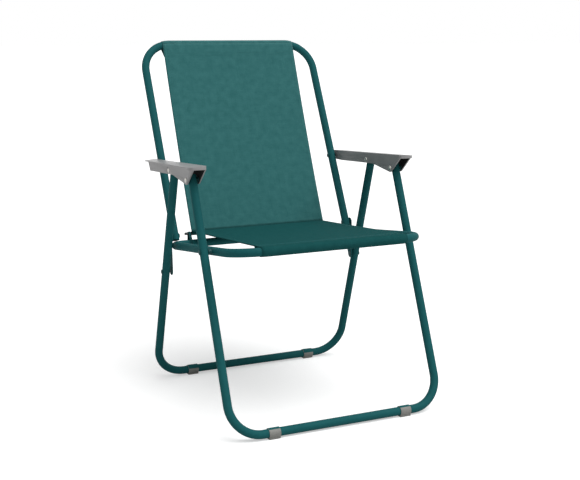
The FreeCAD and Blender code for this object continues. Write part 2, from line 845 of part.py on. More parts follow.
def build():
    """Every sub-part of the chair, in the order that they are named in."""
    tube = number("tube_dia") / 2
    back, leg = number("back_half"), number("leg_half")
    plate_out = number("plate_face") + number("plate_thick")
    arm_in, arm_out = number("arm_inner"), number("arm_outer")
    front_margin, rear_margin = number("front_leg_margin"), number("rear_leg_margin")
    parts = [
        make_back_frame(),
        make_seat_frame(),
        make_leg_frame("front_leg_frame", FRONT_FOOT, FRONT_RIVET, SEAT_RIVET, FRONT_LEAN, front_margin),
        make_leg_frame("rear_leg_frame", REAR_FOOT, MIDDLE_RIVET, PLATE_LOW, REAR_LEAN, rear_margin),
    ]
    for word, side in SIDES:
        parts.append(make_armrest(f"armrest_{word}", side))
        parts.append(make_side_plate(f"side_plate_{word}", side))
        parts.append(make_foot(f"front_foot_{word}", FRONT_FOOT, side))
        parts.append(make_foot(f"rear_foot_{word}", REAR_FOOT, side))
    plate_in = number("plate_face")
    pin_low, rail_high = leg - tube - number("pivot_collar"), back + tube + number("rail_collar")
    plate_set = plate_out + number("rivet_bite")
    bush_start = plate_in - number("bush_low")
    parts += [
        rivet_pair("front_leg_rivets", FRONT_RIVET, inner=arm_in, outer=arm_out),
        rivet_pair("rear_leg_rivets", MIDDLE_RIVET, inner=arm_in, outer=arm_out - number("arm_dish")),
        rivet_pair("back_rivets", REAR_RIVET, inner=back - tube, outer=arm_in + number("arm_wall")),
        rivet_pair("seat_leg_rivets", SEAT_RIVET, inner=pin_low, outer=leg + tube,
                   inner_head=False, spacers=((pin_low, leg - tube),)),
        rivet_pair("seat_rail_rivets", SEAT_RIVET, inner=back - tube, outer=rail_high,
                   outer_head=False, spacers=((back + tube, rail_high),)),
        rivet_pair("plate_back_rivets", PLATE_TOP, inner=back - tube, outer=plate_set),
        rivet_pair("plate_seat_rivets", PLATE_SEAT, inner=back - number("plate_pin_reach"), outer=plate_set,
                   inner_head=False,
                   spacers=((back - number("plate_spacer"), plate_in - number("rivet_bite")),)),
        rivet_pair("plate_leg_rivets", PLATE_LOW, inner=leg - tube, outer=leg + tube, inner_head=False),
        rivet_pair("plate_leg_bushes", PLATE_LOW, inner=bush_start, outer=plate_out + number("bush_high"),
                   inner_head=False, outer_head=False, spacers=((bush_start, plate_in),)),
        washer_group("armrest_washers"),
        plug_pair("back_end_plugs", PLATE_TOP, BACK_LEAN, back, -1, number("back_end_margin")),
        plug_pair("front_leg_plugs", FRONT_RIVET, FRONT_LEAN, leg, 1, front_margin),
        plug_pair("rear_leg_plugs", MIDDLE_RIVET, REAR_LEAN, leg, 1, rear_margin),
        make_joiner(),
    ]
    rod, rod_place = make_crease_rod()
    parts += [rod, make_ties("crease_ties", rod_place)]
    seat_lean = lean(along_seat(0.0), SEAT_FRONT)
    parts.append(make_sling_panel("sling_back", TOP, size("sling_half"), -1, size("top_bend"), BACK_LEAN))
    parts.append(make_sling_panel("sling_seat", SEAT_FRONT, size("seat_sling_half"), 1,
                                  size("seat_front_bend"), seat_lean))
    return parts


def export(parts):
    """Checks the whole document and writes each sub-part's solids."""
    doc.recompute()
    for obj in doc.Objects:
        if "Invalid" in obj.State or "Error" in obj.State:
            raise RuntimeError(f"{obj.Label} failed: {obj.State}")
    os.makedirs("parts", exist_ok=True)
    for part in parts:
        if part.Shape.isNull() or not part.Shape.isValid() or not part.Shape.Solids:
            raise RuntimeError(f"{part.Label} has no valid shape")
    for part in parts:
        part.Shape.exportStep(f"parts/{part.Label}.step")
        box = part.Shape.BoundBox
        print(f"{part.Label:20s} solids {len(part.Shape.Solids)}  volume {part.Shape.Volume:10.0f}  "
              f"x {box.XMin:7.1f} {box.XMax:7.1f}  y {box.YMin:7.1f} {box.YMax:7.1f}  "
              f"z {box.ZMin:7.1f} {box.ZMax:7.1f}")


export(build())
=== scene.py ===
"""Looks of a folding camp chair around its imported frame.

Painted tube frames, moulded channel armrests, domed rivets, foot clips and a woven sling that is
stretched from the back's top tube, through a crease rod, to the seat's front tube. Lengths are in
metres, +Z is up, the sitter faces -Y and X runs across the chair.
"""

import json
import logging
import math
from dataclasses import dataclass, field
from enum import Enum
from typing import Callable, Sequence

import bmesh
import bpy
import numpy as np
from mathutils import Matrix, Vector


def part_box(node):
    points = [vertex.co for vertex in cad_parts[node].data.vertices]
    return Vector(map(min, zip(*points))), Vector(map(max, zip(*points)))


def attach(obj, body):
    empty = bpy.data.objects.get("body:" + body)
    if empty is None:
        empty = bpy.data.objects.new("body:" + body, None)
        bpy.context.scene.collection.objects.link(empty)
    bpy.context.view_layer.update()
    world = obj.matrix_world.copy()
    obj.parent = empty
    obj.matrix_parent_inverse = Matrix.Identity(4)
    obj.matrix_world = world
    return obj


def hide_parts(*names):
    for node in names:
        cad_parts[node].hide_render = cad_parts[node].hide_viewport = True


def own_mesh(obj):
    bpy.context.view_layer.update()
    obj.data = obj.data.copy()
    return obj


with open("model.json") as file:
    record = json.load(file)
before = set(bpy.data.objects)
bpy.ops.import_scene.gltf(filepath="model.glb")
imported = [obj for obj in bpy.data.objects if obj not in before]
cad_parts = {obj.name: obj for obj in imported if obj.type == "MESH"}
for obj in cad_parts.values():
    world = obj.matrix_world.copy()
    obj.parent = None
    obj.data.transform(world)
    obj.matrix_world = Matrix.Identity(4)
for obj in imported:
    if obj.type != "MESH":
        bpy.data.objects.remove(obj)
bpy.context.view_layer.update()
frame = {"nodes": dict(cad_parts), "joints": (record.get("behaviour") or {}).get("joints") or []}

LOG = logging.getLogger("camp_chair")
Points = np.ndarray
Pair = tuple[float, float]
Triple = tuple[float, float, float]
Tree = bpy.types.NodeTree
Socket = bpy.types.NodeSocket
Value = Socket | float
SIDES = {"right": -1.0, "left": 1.0}
SQUARE_ON = 0.9  # a face whose normal's share along an axis is above this looks along it
TINY = 1e-6  # keeps a division by a length safe


# ---- reading the frame ---------------------------------------------------------------------------

def joint_place(name: str) -> Points:
    """Side-view (y, z) of a joint's axis, in metres."""
    joint = next(j for j in frame["joints"] if j["name"] == name)
    return np.array(joint["pos_m"][1:3], float)


def node_box(name: str) -> tuple[Points, Points]:
    """Lowest and highest corner of a CAD node, as arrays."""
    low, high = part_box(name)
    return np.array(low, float), np.array(high, float)


def node_middle(name: str) -> Points:
    """Side-view (y, z) of a CAD node's middle."""
    low, high = node_box(name)
    return (low[1:] + high[1:]) / 2


@dataclass(frozen=True)
class Layout:
    """Where the frame's tubes and pivots are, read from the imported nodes.

    All places are side-view (y, z) pairs except the half widths, which are distances from the
    chair's middle plane to a tube's centre line.
    """

    tube: float = 0.009
    rod_offset: Pair = (0.006, -0.0064)

    def cross_tube(self, node: str, rear: bool, top: bool) -> Points:
        """Centre of the cross tube at one corner of a frame's side view.

        Args:
            node: the frame's CAD node.
            rear: whether the tube is at the frame's rear end, or else at its front end.
            top: whether it is at the frame's highest place, or else at its lowest.

        Returns:
            Its (y, z).
        """
        low, high = node_box(node)
        y = high[1] - self.tube if rear else low[1] + self.tube
        z = high[2] - self.tube if top else low[2] + self.tube
        return np.array([y, z])

    @property
    def top_bar(self) -> Points:
        """Centre of the back frame's top tube."""
        return self.cross_tube("back_frame", rear=True, top=True)

    @property
    def front_bar(self) -> Points:
        """Centre of the seat frame's front tube."""
        return self.cross_tube("seat_frame", rear=False, top=True)

    @property
    def rear_bar(self) -> Points:
        """Centre of the seat frame's rear tube."""
        return self.cross_tube("seat_frame", rear=True, top=False)

    @property
    def front_foot(self) -> Points:
        """Centre of the front legs' ground tube."""
        return self.cross_tube("front_leg_frame", rear=False, top=False)

    @property
    def rear_foot(self) -> Points:
        """Centre of the rear legs' ground tube."""
        return self.cross_tube("rear_leg_frame", rear=True, top=False)

    @property
    def back_half(self) -> float:
        """Half width of the back and seat frames."""
        return float(node_box("back_frame")[1][0] - self.tube)

    @property
    def leg_half(self) -> float:
        """Half width of both leg frames."""
        return float(node_box("front_leg_frame")[1][0] - self.tube)

    @property
    def rod(self) -> Points:
        """Centre of the crease rod."""
        return node_middle("crease_rod")

    @property
    def crease(self) -> Points:
        """The corner between the back and the seat of the sling."""
        return self.rod - np.array(self.rod_offset)


# ---- shapes as arrays ----------------------------------------------------------------------------

def unit(vector: Points) -> Points:
    """The vector at length one."""
    return vector / np.linalg.norm(vector, axis=-1, keepdims=True)


def rounded_path(
    corners: Sequence[Points], bends: Sequence[float], step: float = 0.004, fewest: int = 6
) -> Points:
    """A polyline whose corners are turned on tangent arcs.

    Each arc starts and ends at bend / tan(half the inner angle) from its corner, and its points
    are centre + bend * (cos t, sin t) in the plane of the two runs.

    Args:
        corners: the run's corner points, ends included.
        bends: one bend radius for each inner corner.
        step: spacing of points along the arcs.
        fewest: the least number of points in an arc.

    Returns:
        The path's points.
    """
    pieces = [corners[0][None, :]]
    for before, corner, after, bend in zip(corners[:-2], corners[1:-1], corners[2:], bends):
        to_before, to_after = unit(before - corner), unit(after - corner)
        half = math.acos(float(np.dot(to_before, to_after))) / 2
        centre = corner + unit(to_before + to_after) * bend / math.sin(half)
        start = corner + to_before * bend / math.tan(half)
        turn = math.pi - 2 * half
        t = np.linspace(0, turn, max(fewest, int(bend * turn / step)))[:, None]
        pieces.append(centre + bend * (np.cos(t) * unit(start - centre) - np.sin(t) * to_before))
    pieces.append(corners[-1][None, :])
    return np.concatenate(pieces)


def sweep(path: Points, normal: Points, radius: float, sides: int = 28) -> Points:
    """Rings round a flat path: path + radius * (cos a * normal + sin a * (normal x tangent)).

    Args:
        path: the centre line's points.
        normal: the normal of the path's plane.
        radius: the tube's radius.
        sides: points in a ring.

    Returns:
        Points as (rings, sides, 3).
    """
    across = np.cross(normal, unit(np.gradient(path, axis=0)))
    a = np.linspace(0, 2 * math.pi, sides, endpoint=False)[None, :, None]
    ring = np.cos(a) * normal + np.sin(a) * across[:, None, :]
    return path[:, None, :] + ring * radius


def revolve(stations: Points, place: Points, side: float, sides: int = 24) -> Points:
    """Rings about a line along X: (side * x, y + r cos a, z + r sin a) for each station (x, r).

    Args:
        stations: (x, r) pairs.
        place: the line's (y, z).
        side: 1 for the chair's left, -1 for its right.
        sides: points in a ring.

    Returns:
        Points as (rings, sides, 3).
    """
    a = np.linspace(0, 2 * math.pi, sides, endpoint=False)
    x = np.broadcast_to(side * stations[:, :1], (len(stations), sides))
    y = place[0] + stations[:, 1:] * np.cos(a)
    z = place[1] + stations[:, 1:] * np.sin(a)
    return np.stack([x, y, z], axis=-1)


def grid_faces(rows: int, cols: int, wrap: bool = False) -> Points:
    """Quads of a grid of points.

    Args:
        rows: points along the grid.
        cols: points across it.
        wrap: whether its last column is joined to its first.

    Returns:
        Four point numbers for each quad.
    """
    r = np.arange(rows - 1)[:, None]
    c = np.arange(cols if wrap else cols - 1)[None, :]
    c2 = (c + 1) % cols
    quads = np.stack([r * cols + c, r * cols + c2, (r + 1) * cols + c2, (r + 1) * cols + c], axis=-1)
    return quads.reshape(-1, 4)


def turned_outwards(points: Points, faces: Sequence[Points]) -> list[Points]:
    """The faces of a closed shape, reversed together if they look inwards.

    The faces' signed tetrahedra about the shape's middle add up to its volume, which is negative
    if they look inwards.

    Args:
        points: the shape's points.
        faces: point numbers, an array for each number of corners.

    Returns:
        The arrays, as they were or reversed.
    """
    total = 0.0
    middle = points.mean(axis=0)
    for same in faces:
        a = points[same[:, 0]] - middle
        for k in range(1, same.shape[1] - 1):
            b, c = points[same[:, k]] - middle, points[same[:, k + 1]] - middle
            total += float(np.einsum("ij,ij->i", a, np.cross(b, c)).sum())
    return [same[:, ::-1] if total < 0 else same for same in faces]


def placed(name: str, data: bpy.types.ID) -> bpy.types.Object:
    """A new object of the scene, at the origin.

    Args:
        name: its name.
        data: its mesh, camera or light.

    Returns:
        The object.
    """
    thing = bpy.data.objects.new(name, data)
    bpy.context.scene.collection.objects.link(thing)
    return thing


def surface(name: str, points: Points, faces: Sequence[Points]) -> bpy.types.Object:
    """A smooth-shaded mesh object.

    Args:
        name: the name of the piece.
        points: its points.
        faces: point numbers, an array for each number of corners.

    Returns:
        The piece, not yet dressed.
    """
    mesh = bpy.data.meshes.new(name)
    mesh.from_pydata(points.tolist(), [], [face for same in faces for face in same.tolist()])
    mesh.shade_smooth()
    return placed(name, mesh)


def capped_rings(name: str, groups: Sequence[Points], sharp: float) -> bpy.types.Object:
    """One piece from runs of rings, each closed by flat ends and turned outwards on its own.

    Args:
        name: the name of the piece.
        groups: rings as (rings, sides, 3), one array for each run.
        sharp: the angle in degrees past which an edge stays sharp.

    Returns:
        The piece, not yet dressed.
    """
    faces, base = [], 0
    for rings in groups:
        rows, cols = rings.shape[:2]
        ring = np.arange(cols)
        own = [grid_faces(rows, cols, wrap=True), np.stack([ring[::-1], ring + (rows - 1) * cols])]
        faces += [same + base for same in turned_outwards(rings.reshape(-1, 3), own)]
        base += rows * cols
    piece = surface(name, np.concatenate([rings.reshape(-1, 3) for rings in groups]), faces)
    piece.data.set_sharp_from_angle(angle=math.radians(sharp))
    return piece


def set_uv(piece: bpy.types.Object, uv: Points) -> None:
    """Writes a UV map.

    Args:
        piece: the piece of cloth.
        uv: a place on the cloth for each vertex, in metres.
    """
    layer = piece.data.uv_layers.new(name="Cloth")
    corner = np.zeros(len(piece.data.loops), dtype=np.int32)
    piece.data.loops.foreach_get("vertex_index", corner)
    layer.data.foreach_set("uv", uv[corner].astype(np.float32).ravel())


# ---- node groups ---------------------------------------------------------------------------------

class GroupKind(Enum):
    """The effects that more than one finish uses."""

    MOTTLE = "mottle"
    WEAVE = "weave"
    GRAIN = "grain"


def feed(tree: Tree, value: Value, target: Socket) -> None:
    """Sets an input to a number, or links it to a socket.

    Args:
        tree: the node tree.
        value: the number or the socket.
        target: the input.
    """
    if isinstance(value, (int, float)):
        target.default_value = value
    else:
        tree.links.new(value, target)


def math_node(tree: Tree, operation: str, first: Value, second: Value = 0.0, clamp: bool = False) -> Socket:
    """A Math node.

    Args:
        tree: the node tree.
        operation: the Math node's operation.
        first: its first value.
        second: its second value, if it takes one.
        clamp: whether the result is held between 0 and 1.

    Returns:
        The node's output socket.
    """
    node = tree.nodes.new("ShaderNodeMath")
    node.operation = operation
    node.use_clamp = clamp
    feed(tree, first, node.inputs[0])
    feed(tree, second, node.inputs[1])
    return node.outputs[0]


def sum_of_products(tree: Tree, pairs: Sequence[tuple[Value, Value]], clamp: bool = False) -> Socket:
    """The products of each pair of values, added up.

    Args:
        tree: the node tree.
        pairs: the values to multiply.
        clamp: whether the sum is held between 0 and 1.

    Returns:
        The sum's socket.
    """
    total, *others = [math_node(tree, "MULTIPLY", first, second) for first, second in pairs]
    for product in others:
        total = math_node(tree, "ADD", total, product, clamp=clamp)
    return total


def noise_value(tree: Tree, vector: Socket, scale: Value, detail: float, roughness: float = 0.5) -> Socket:
    """A Noise texture.

    Args:
        tree: the node tree.
        vector: where the texture is read.
        scale: its scale.
        detail: its octaves.
        roughness: the share of each octave in the next.

    Returns:
        The socket of its value.
    """
    noise = tree.nodes.new("ShaderNodeTexNoise")
    for name, value in (("Vector", vector), ("Scale", scale), ("Detail", detail), ("Roughness", roughness)):
        feed(tree, value, noise.inputs[name])
    return noise.outputs["Fac"]


@dataclass
class EffectGroup:
    """A node group while it is made: its inputs by name, None for a vector, and its outputs."""

    kind: GroupKind
    inputs: dict[str, float | None]
    results: dict[str, Socket] = field(default_factory=dict)
    tree: Tree = field(init=False)
    given: bpy.types.bpy_prop_collection = field(init=False)

    def __post_init__(self) -> None:
        """Opens the group's tree with its input sockets."""
        self.tree = bpy.data.node_groups.new(self.kind.value, "ShaderNodeTree")
        for name, default in self.inputs.items():
            socket_type = "NodeSocketVector" if default is None else "NodeSocketFloat"
            socket = self.tree.interface.new_socket(name, in_out="INPUT", socket_type=socket_type)
            if default is not None:
                socket.default_value = default
        self.given = self.tree.nodes.new("NodeGroupInput").outputs

    def close(self) -> None:
        """Adds an output socket for each result and links it."""
        for name in self.results:
            self.tree.interface.new_socket(name, in_out="OUTPUT", socket_type="NodeSocketFloat")
        end = self.tree.nodes.new("NodeGroupOutput")
        for name, socket in self.results.items():
            self.tree.links.new(socket, end.inputs[name])


def mottle_group(finer: float = 8.0, broad_share: float = 0.6) -> None:
    """Soft blotches: a broad and a fine noise added up and stretched about a half.

    Args:
        finer: how many times finer the second noise is.
        broad_share: the broad noise's share of the sum.
    """
    group = EffectGroup(GroupKind.MOTTLE, {"Vector": None, "Scale": 40.0, "Contrast": 1.0})
    tree, given = group.tree, group.given
    fine_scale = math_node(tree, "MULTIPLY", given["Scale"], finer)
    broad = noise_value(tree, given["Vector"], given["Scale"], detail=3.0)
    fine = noise_value(tree, given["Vector"], fine_scale, detail=2.0)
    both = sum_of_products(tree, [(broad, broad_share), (fine, 1 - broad_share)])
    spread = math_node(tree, "MULTIPLY", math_node(tree, "SUBTRACT", both, 0.5), given["Contrast"])
    group.results["Mask"] = math_node(tree, "ADD", spread, 0.5, clamp=True)
    group.close()


def weave_group(slub_across: float = 700.0, slub_along: float = 14.0) -> None:
    """Plain weave from cloth coordinates.

    Warp and weft are |sin| ridges. Where sin u times sin v is positive the warp lies on top,
    elsewhere the weft, and the height is the ridge of the thread on top. Slub is a noise drawn
    out along each thread, so that single threads are a little lighter or darker.

    Args:
        slub_across: the slub noise's scale across a thread.
        slub_along: its scale along a thread.
    """
    group = EffectGroup(GroupKind.WEAVE, {"Vector": None, "Threads": 900.0})
    tree, given = group.tree, group.given
    split = tree.nodes.new("ShaderNodeSeparateXYZ")
    tree.links.new(given["Vector"], split.inputs[0])
    pitch = math_node(tree, "MULTIPLY", given["Threads"], math.pi)
    waves = [math_node(tree, "SINE", math_node(tree, "MULTIPLY", split.outputs[k], pitch)) for k in (0, 1)]
    over = math_node(tree, "GREATER_THAN", math_node(tree, "MULTIPLY", *waves), 0.0)
    on_top = (over, math_node(tree, "SUBTRACT", 1.0, over))
    ridges = [math_node(tree, "ABSOLUTE", wave) for wave in waves]
    slubs = []
    for stretch in ((slub_across, slub_along, 1.0), (slub_along, slub_across, 1.0)):
        mapping = tree.nodes.new("ShaderNodeMapping")
        mapping.inputs["Scale"].default_value = stretch
        tree.links.new(given["Vector"], mapping.inputs["Vector"])
        slubs.append(noise_value(tree, mapping.outputs[0], scale=1.0, detail=1.0))
    group.results["Height"] = sum_of_products(tree, list(zip(ridges, on_top)))
    group.results["Slub"] = sum_of_products(tree, list(zip(slubs, on_top)))
    group.close()


def grain_group(broader: float = 0.05) -> None:
    """Fine surface grain: one very fine noise for height and a broader one for gloss.

    Args:
        broader: the gloss noise's scale as a share of the grain's.
    """
    group = EffectGroup(GroupKind.GRAIN, {"Vector": None, "Scale": 900.0, "Low": 0.3, "High": 0.5})
    tree, given = group.tree, group.given
    group.results["Height"] = noise_value(tree, given["Vector"], given["Scale"], detail=2.0)
    scale = math_node(tree, "MULTIPLY", given["Scale"], broader)
    broad = noise_value(tree, given["Vector"], scale, detail=4.0, roughness=0.6)
    span = math_node(tree, "SUBTRACT", given["High"], given["Low"])
    rough = math_node(tree, "ADD", given["Low"], math_node(tree, "MULTIPLY", broad, span))
    group.results["Roughness"] = rough
    group.close()


# ---- finishes ------------------------------------------------------------------------------------

@dataclass(frozen=True)
class Finish:
    """A hard surface: mottled between two tints, with a varying gloss and a fine grain."""

    name: str
    dark: Triple
    light: Triple
    gloss: Pair = (0.35, 0.5)
    mottle: float = 40.0
    contrast: float = 1.6
    bump: float = 0.05
    bump_depth: float = 0.0002
    grain: float = 900.0
    metallic: float = 0.0
    specular: float = 0.5
    sheen: float = 0.0

    def group(self, tree: Tree, kind: GroupKind, vector: Socket, **values: float) -> bpy.types.Node:
        """One of the shared groups with this finish's values.

        Args:
            tree: the material's node tree.
            kind: which group it is.
            vector: where the group is read.
            values: its other inputs by name.

        Returns:
            The group's node.
        """
        node = tree.nodes.new("ShaderNodeGroup")
        node.node_tree = bpy.data.node_groups[kind.value]
        tree.links.new(vector, node.inputs["Vector"])
        for name, value in values.items():
            node.inputs[name].default_value = value
        return node

    def cover(self, tree: Tree) -> tuple[Socket, Socket, Socket]:
        """What varies over the surface.

        Args:
            tree: the material's node tree.

        Returns:
            Sockets for the light tint's share, the roughness and the relief's height.
        """
        place = tree.nodes.new("ShaderNodeTexCoord").outputs["Object"]
        low, high = self.gloss
        mottle = self.group(tree, GroupKind.MOTTLE, place, Scale=self.mottle, Contrast=self.contrast)
        grain = self.group(tree, GroupKind.GRAIN, place, Scale=self.grain, Low=low, High=high)
        return mottle.outputs["Mask"], grain.outputs["Roughness"], grain.outputs["Height"]

    def build(self) -> bpy.types.Material:
        """Joins the cover, the tints and the bump to the shader.

        Returns:
            The material.
        """
        material = bpy.data.materials.new(self.name)
        material.use_nodes = True
        tree = material.node_tree
        shader = tree.nodes["Principled BSDF"]
        shader.inputs["Metallic"].default_value = self.metallic
        shader.inputs["Specular IOR Level"].default_value = self.specular
        shader.inputs["Sheen Weight"].default_value = self.sheen
        share, rough, height = self.cover(tree)
        mix = tree.nodes.new("ShaderNodeMix")
        mix.data_type = "RGBA"
        mix.inputs["A"].default_value = (*self.dark, 1.0)
        mix.inputs["B"].default_value = (*self.light, 1.0)
        bump = tree.nodes.new("ShaderNodeBump")
        bump.inputs["Strength"].default_value = self.bump
        bump.inputs["Distance"].default_value = self.bump_depth
        tree.links.new(share, mix.inputs["Factor"])
        tree.links.new(height, bump.inputs["Height"])
        tree.links.new(mix.outputs["Result"], shader.inputs["Base Color"])
        tree.links.new(rough, shader.inputs["Roughness"])
        tree.links.new(bump.outputs["Normal"], shader.inputs["Normal"])
        return material


@dataclass(frozen=True)
class ClothFinish(Finish):
    """Woven cloth: a plain weave with slubbed threads on the piece's own cloth coordinates."""

    threads: float = 900.0
    sheen: float = 0.15
    slub_share: float = 0.55
    ridge_shade_share: float = 0.25
    cloud_share: float = 0.35

    def cover(self, tree: Tree) -> tuple[Socket, Socket, Socket]:
        """Thread by thread tint with painted shade between the threads, a matt gloss and the weave's relief.

        Args:
            tree: the material's node tree.

        Returns:
            Sockets for the light tint's share, the roughness and the relief's height.
        """
        place = tree.nodes.new("ShaderNodeTexCoord").outputs["UV"]
        low, high = self.gloss
        weave = self.group(tree, GroupKind.WEAVE, place, Threads=self.threads)
        mottle = self.group(tree, GroupKind.MOTTLE, place, Scale=self.mottle, Contrast=self.contrast)
        slub, height, cloud = weave.outputs["Slub"], weave.outputs["Height"], mottle.outputs["Mask"]
        # The height's share of the tint is painted shade: darker in the dips between threads, lighter on
        # their crowns.
        parts = [(slub, self.slub_share), (height, self.ridge_shade_share), (cloud, self.cloud_share)]
        share = sum_of_products(tree, parts, clamp=True)
        rough = math_node(tree, "ADD", math_node(tree, "MULTIPLY", slub, high - low), low)
        return share, rough, height


def srgb(red: int, green: int, blue: int) -> Triple:
    """Linear colour of 8-bit display values: (v / 255) to the power 2.2."""
    return tuple((v / 255) ** 2.2 for v in (red, green, blue))


class Finishes:
    """The chair's materials, one for each finish that its pieces show."""

    def __init__(self) -> None:
        """Builds the shared groups and then every material."""
        mottle_group()
        weave_group()
        grain_group()
        self.paint = Finish(
            "satin_teal_paint", srgb(26, 76, 78), srgb(33, 86, 88), gloss=(0.5, 0.66),
            mottle=18.0, bump=0.12, grain=420.0, specular=0.05,
        ).build()
        self.back_cloth = ClothFinish(
            "back_sling_cloth", srgb(24, 76, 77), srgb(58, 108, 108), gloss=(0.8, 0.95),
            mottle=60.0, contrast=3.4, bump=0.35, bump_depth=0.0004, threads=620.0, specular=0.05,
        ).build()
        # Painted shade: the seat is the same cloth as the back in darker tints, standing in for less light
        # falling on the seat.
        self.shaded_seat_cloth = ClothFinish(
            "seat_sling_cloth_painted_shade", srgb(14, 55, 56), srgb(34, 80, 80), gloss=(0.8, 0.95),
            mottle=60.0, contrast=2.4, bump=0.25, bump_depth=0.0003, threads=620.0, specular=0.03,
            sheen=0.0,
        ).build()
        self.thread = Finish(
            "sewing_thread", srgb(30, 82, 84), srgb(58, 112, 112), gloss=(0.6, 0.8), mottle=400.0,
            bump=0.3, grain=3000.0, specular=0.15,
        ).build()
        self.armrest = Finish(
            "grey_moulded_plastic", srgb(120, 120, 121), srgb(142, 141, 141), gloss=(0.28, 0.4),
            mottle=30.0, contrast=1.2, bump=0.2, bump_depth=0.0003, grain=1300.0, specular=0.4,
        ).build()
        # Painted shade: the armrest channel's inside is dark grey, standing in for the shade in the hollow.
        self.armrest_painted_shade = Finish(
            "painted_shade_inside", srgb(34, 34, 35), srgb(52, 52, 53), gloss=(0.7, 0.85),
            mottle=60.0, bump=0.3, specular=0.1,
        ).build()
        self.foot = Finish(
            "grey_foot_plastic", srgb(106, 107, 104), srgb(130, 130, 126), gloss=(0.4, 0.6),
            mottle=60.0, bump=0.2, grain=1300.0, specular=0.25,
        ).build()
        self.plug = Finish(
            "dark_teal_plug_plastic", srgb(20, 56, 58), srgb(30, 72, 74), gloss=(0.4, 0.6), bump=0.2,
            specular=0.2,
        ).build()
        self.rod = Finish(
            "blackened_rod", srgb(14, 20, 22), srgb(28, 38, 40), gloss=(0.35, 0.55), bump=0.15,
            mottle=200.0, specular=0.3,
        ).build()
        self.painted_rivet = Finish(
            "painted_rivet_steel", srgb(20, 62, 64), srgb(28, 76, 78), gloss=(0.4, 0.55), bump=0.15,
            mottle=300.0, grain=2200.0, specular=0.2,
        ).build()
        self.steel = Finish(
            "zinc_plated_steel", srgb(176, 174, 168), srgb(214, 212, 206), gloss=(0.22, 0.4),
            mottle=260.0, metallic=1.0, bump=0.1, grain=2200.0,
        ).build()
        self.webbing = Finish(
            "teal_webbing", srgb(16, 52, 55), srgb(30, 74, 76), gloss=(0.7, 0.9), mottle=300.0,
            bump=0.5, bump_depth=0.0004, grain=1600.0, specular=0.1,
        ).build()


# ---- dressing the pieces -------------------------------------------------------------------------

def finish_piece(
    piece: bpy.types.Object, body: str, slot: str, material: bpy.types.Material, *nodes: str
) -> bpy.types.Object:
    """Dresses a piece, puts it on its body and hides the CAD nodes that it replaces.

    Args:
        piece: the piece.
        body: the body that it rides on.
        slot: the record's material slot; not used.
        material: its finish.
        nodes: the CAD nodes that it replaces.

    Returns:
        The same piece.
    """
    piece.data.materials.clear()
    piece.data.materials.append(material)
    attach(piece, body)
    if nodes:
        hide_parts(*nodes)
    LOG.info("%s rides on %s", piece.name, body)
    return piece


def softened_copy(
    node: str, name: str, width: float, merge: float = 1e-5, flat: float = 2.0, edge: float = 28.0
) -> bpy.types.Object:
    """A CAD node's shape with merged vertices, joined flat faces and rounded edges.

    Args:
        node: the CAD node to copy.
        name: the new piece's name.
        width: how far the rounding reaches from each edge.
        merge: vertices nearer than this are one.
        flat: faces that meet at less than this many degrees are joined.
        edge: edges sharper than this many degrees are rounded.

    Returns:
        The new piece, not yet dressed.
    """
    shape = bmesh.new()
    shape.from_mesh(frame["nodes"][node].data)
    bmesh.ops.remove_doubles(shape, verts=shape.verts, dist=merge)
    bmesh.ops.dissolve_limit(shape, angle_limit=math.radians(flat), verts=shape.verts, edges=shape.edges)
    bmesh.ops.recalc_face_normals(shape, faces=shape.faces)
    mesh = bpy.data.meshes.new(name)
    shape.to_mesh(mesh)
    shape.free()
    mesh.shade_smooth()
    piece = placed(name, mesh)
    bevel = piece.modifiers.new("soft_edges", "BEVEL")
    bevel.width = width
    bevel.segments = 3
    bevel.limit_method = "ANGLE"
    bevel.angle_limit = math.radians(edge)
    bevel.harden_normals = True
    bevel.miter_outer = "MITER_ARC"
    return piece


def polygon_values(mesh: bpy.types.Mesh, name: str) -> Points:
    """A vector for each face.

    Args:
        mesh: the mesh.
        name: "center" or "normal".

    Returns:
        The vectors as (faces, 3).
    """
    values = np.empty(len(mesh.polygons) * 3)
    mesh.polygons.foreach_get(name, values)
    return values.reshape(-1, 3)


def set_second_finish(piece: bpy.types.Object, chosen: Points, material: bpy.types.Material) -> None:
    """Gives some of a piece's faces a second material.

    Args:
        piece: the piece, already dressed.
        chosen: whether each face gets it.
        material: the second material.
    """
    piece.data.materials.append(material)
    piece.data.polygons.foreach_set("material_index", chosen.astype(np.int32))
    piece.data.update()


# ---- sub-assemblies ------------------------------------------------------------------------------

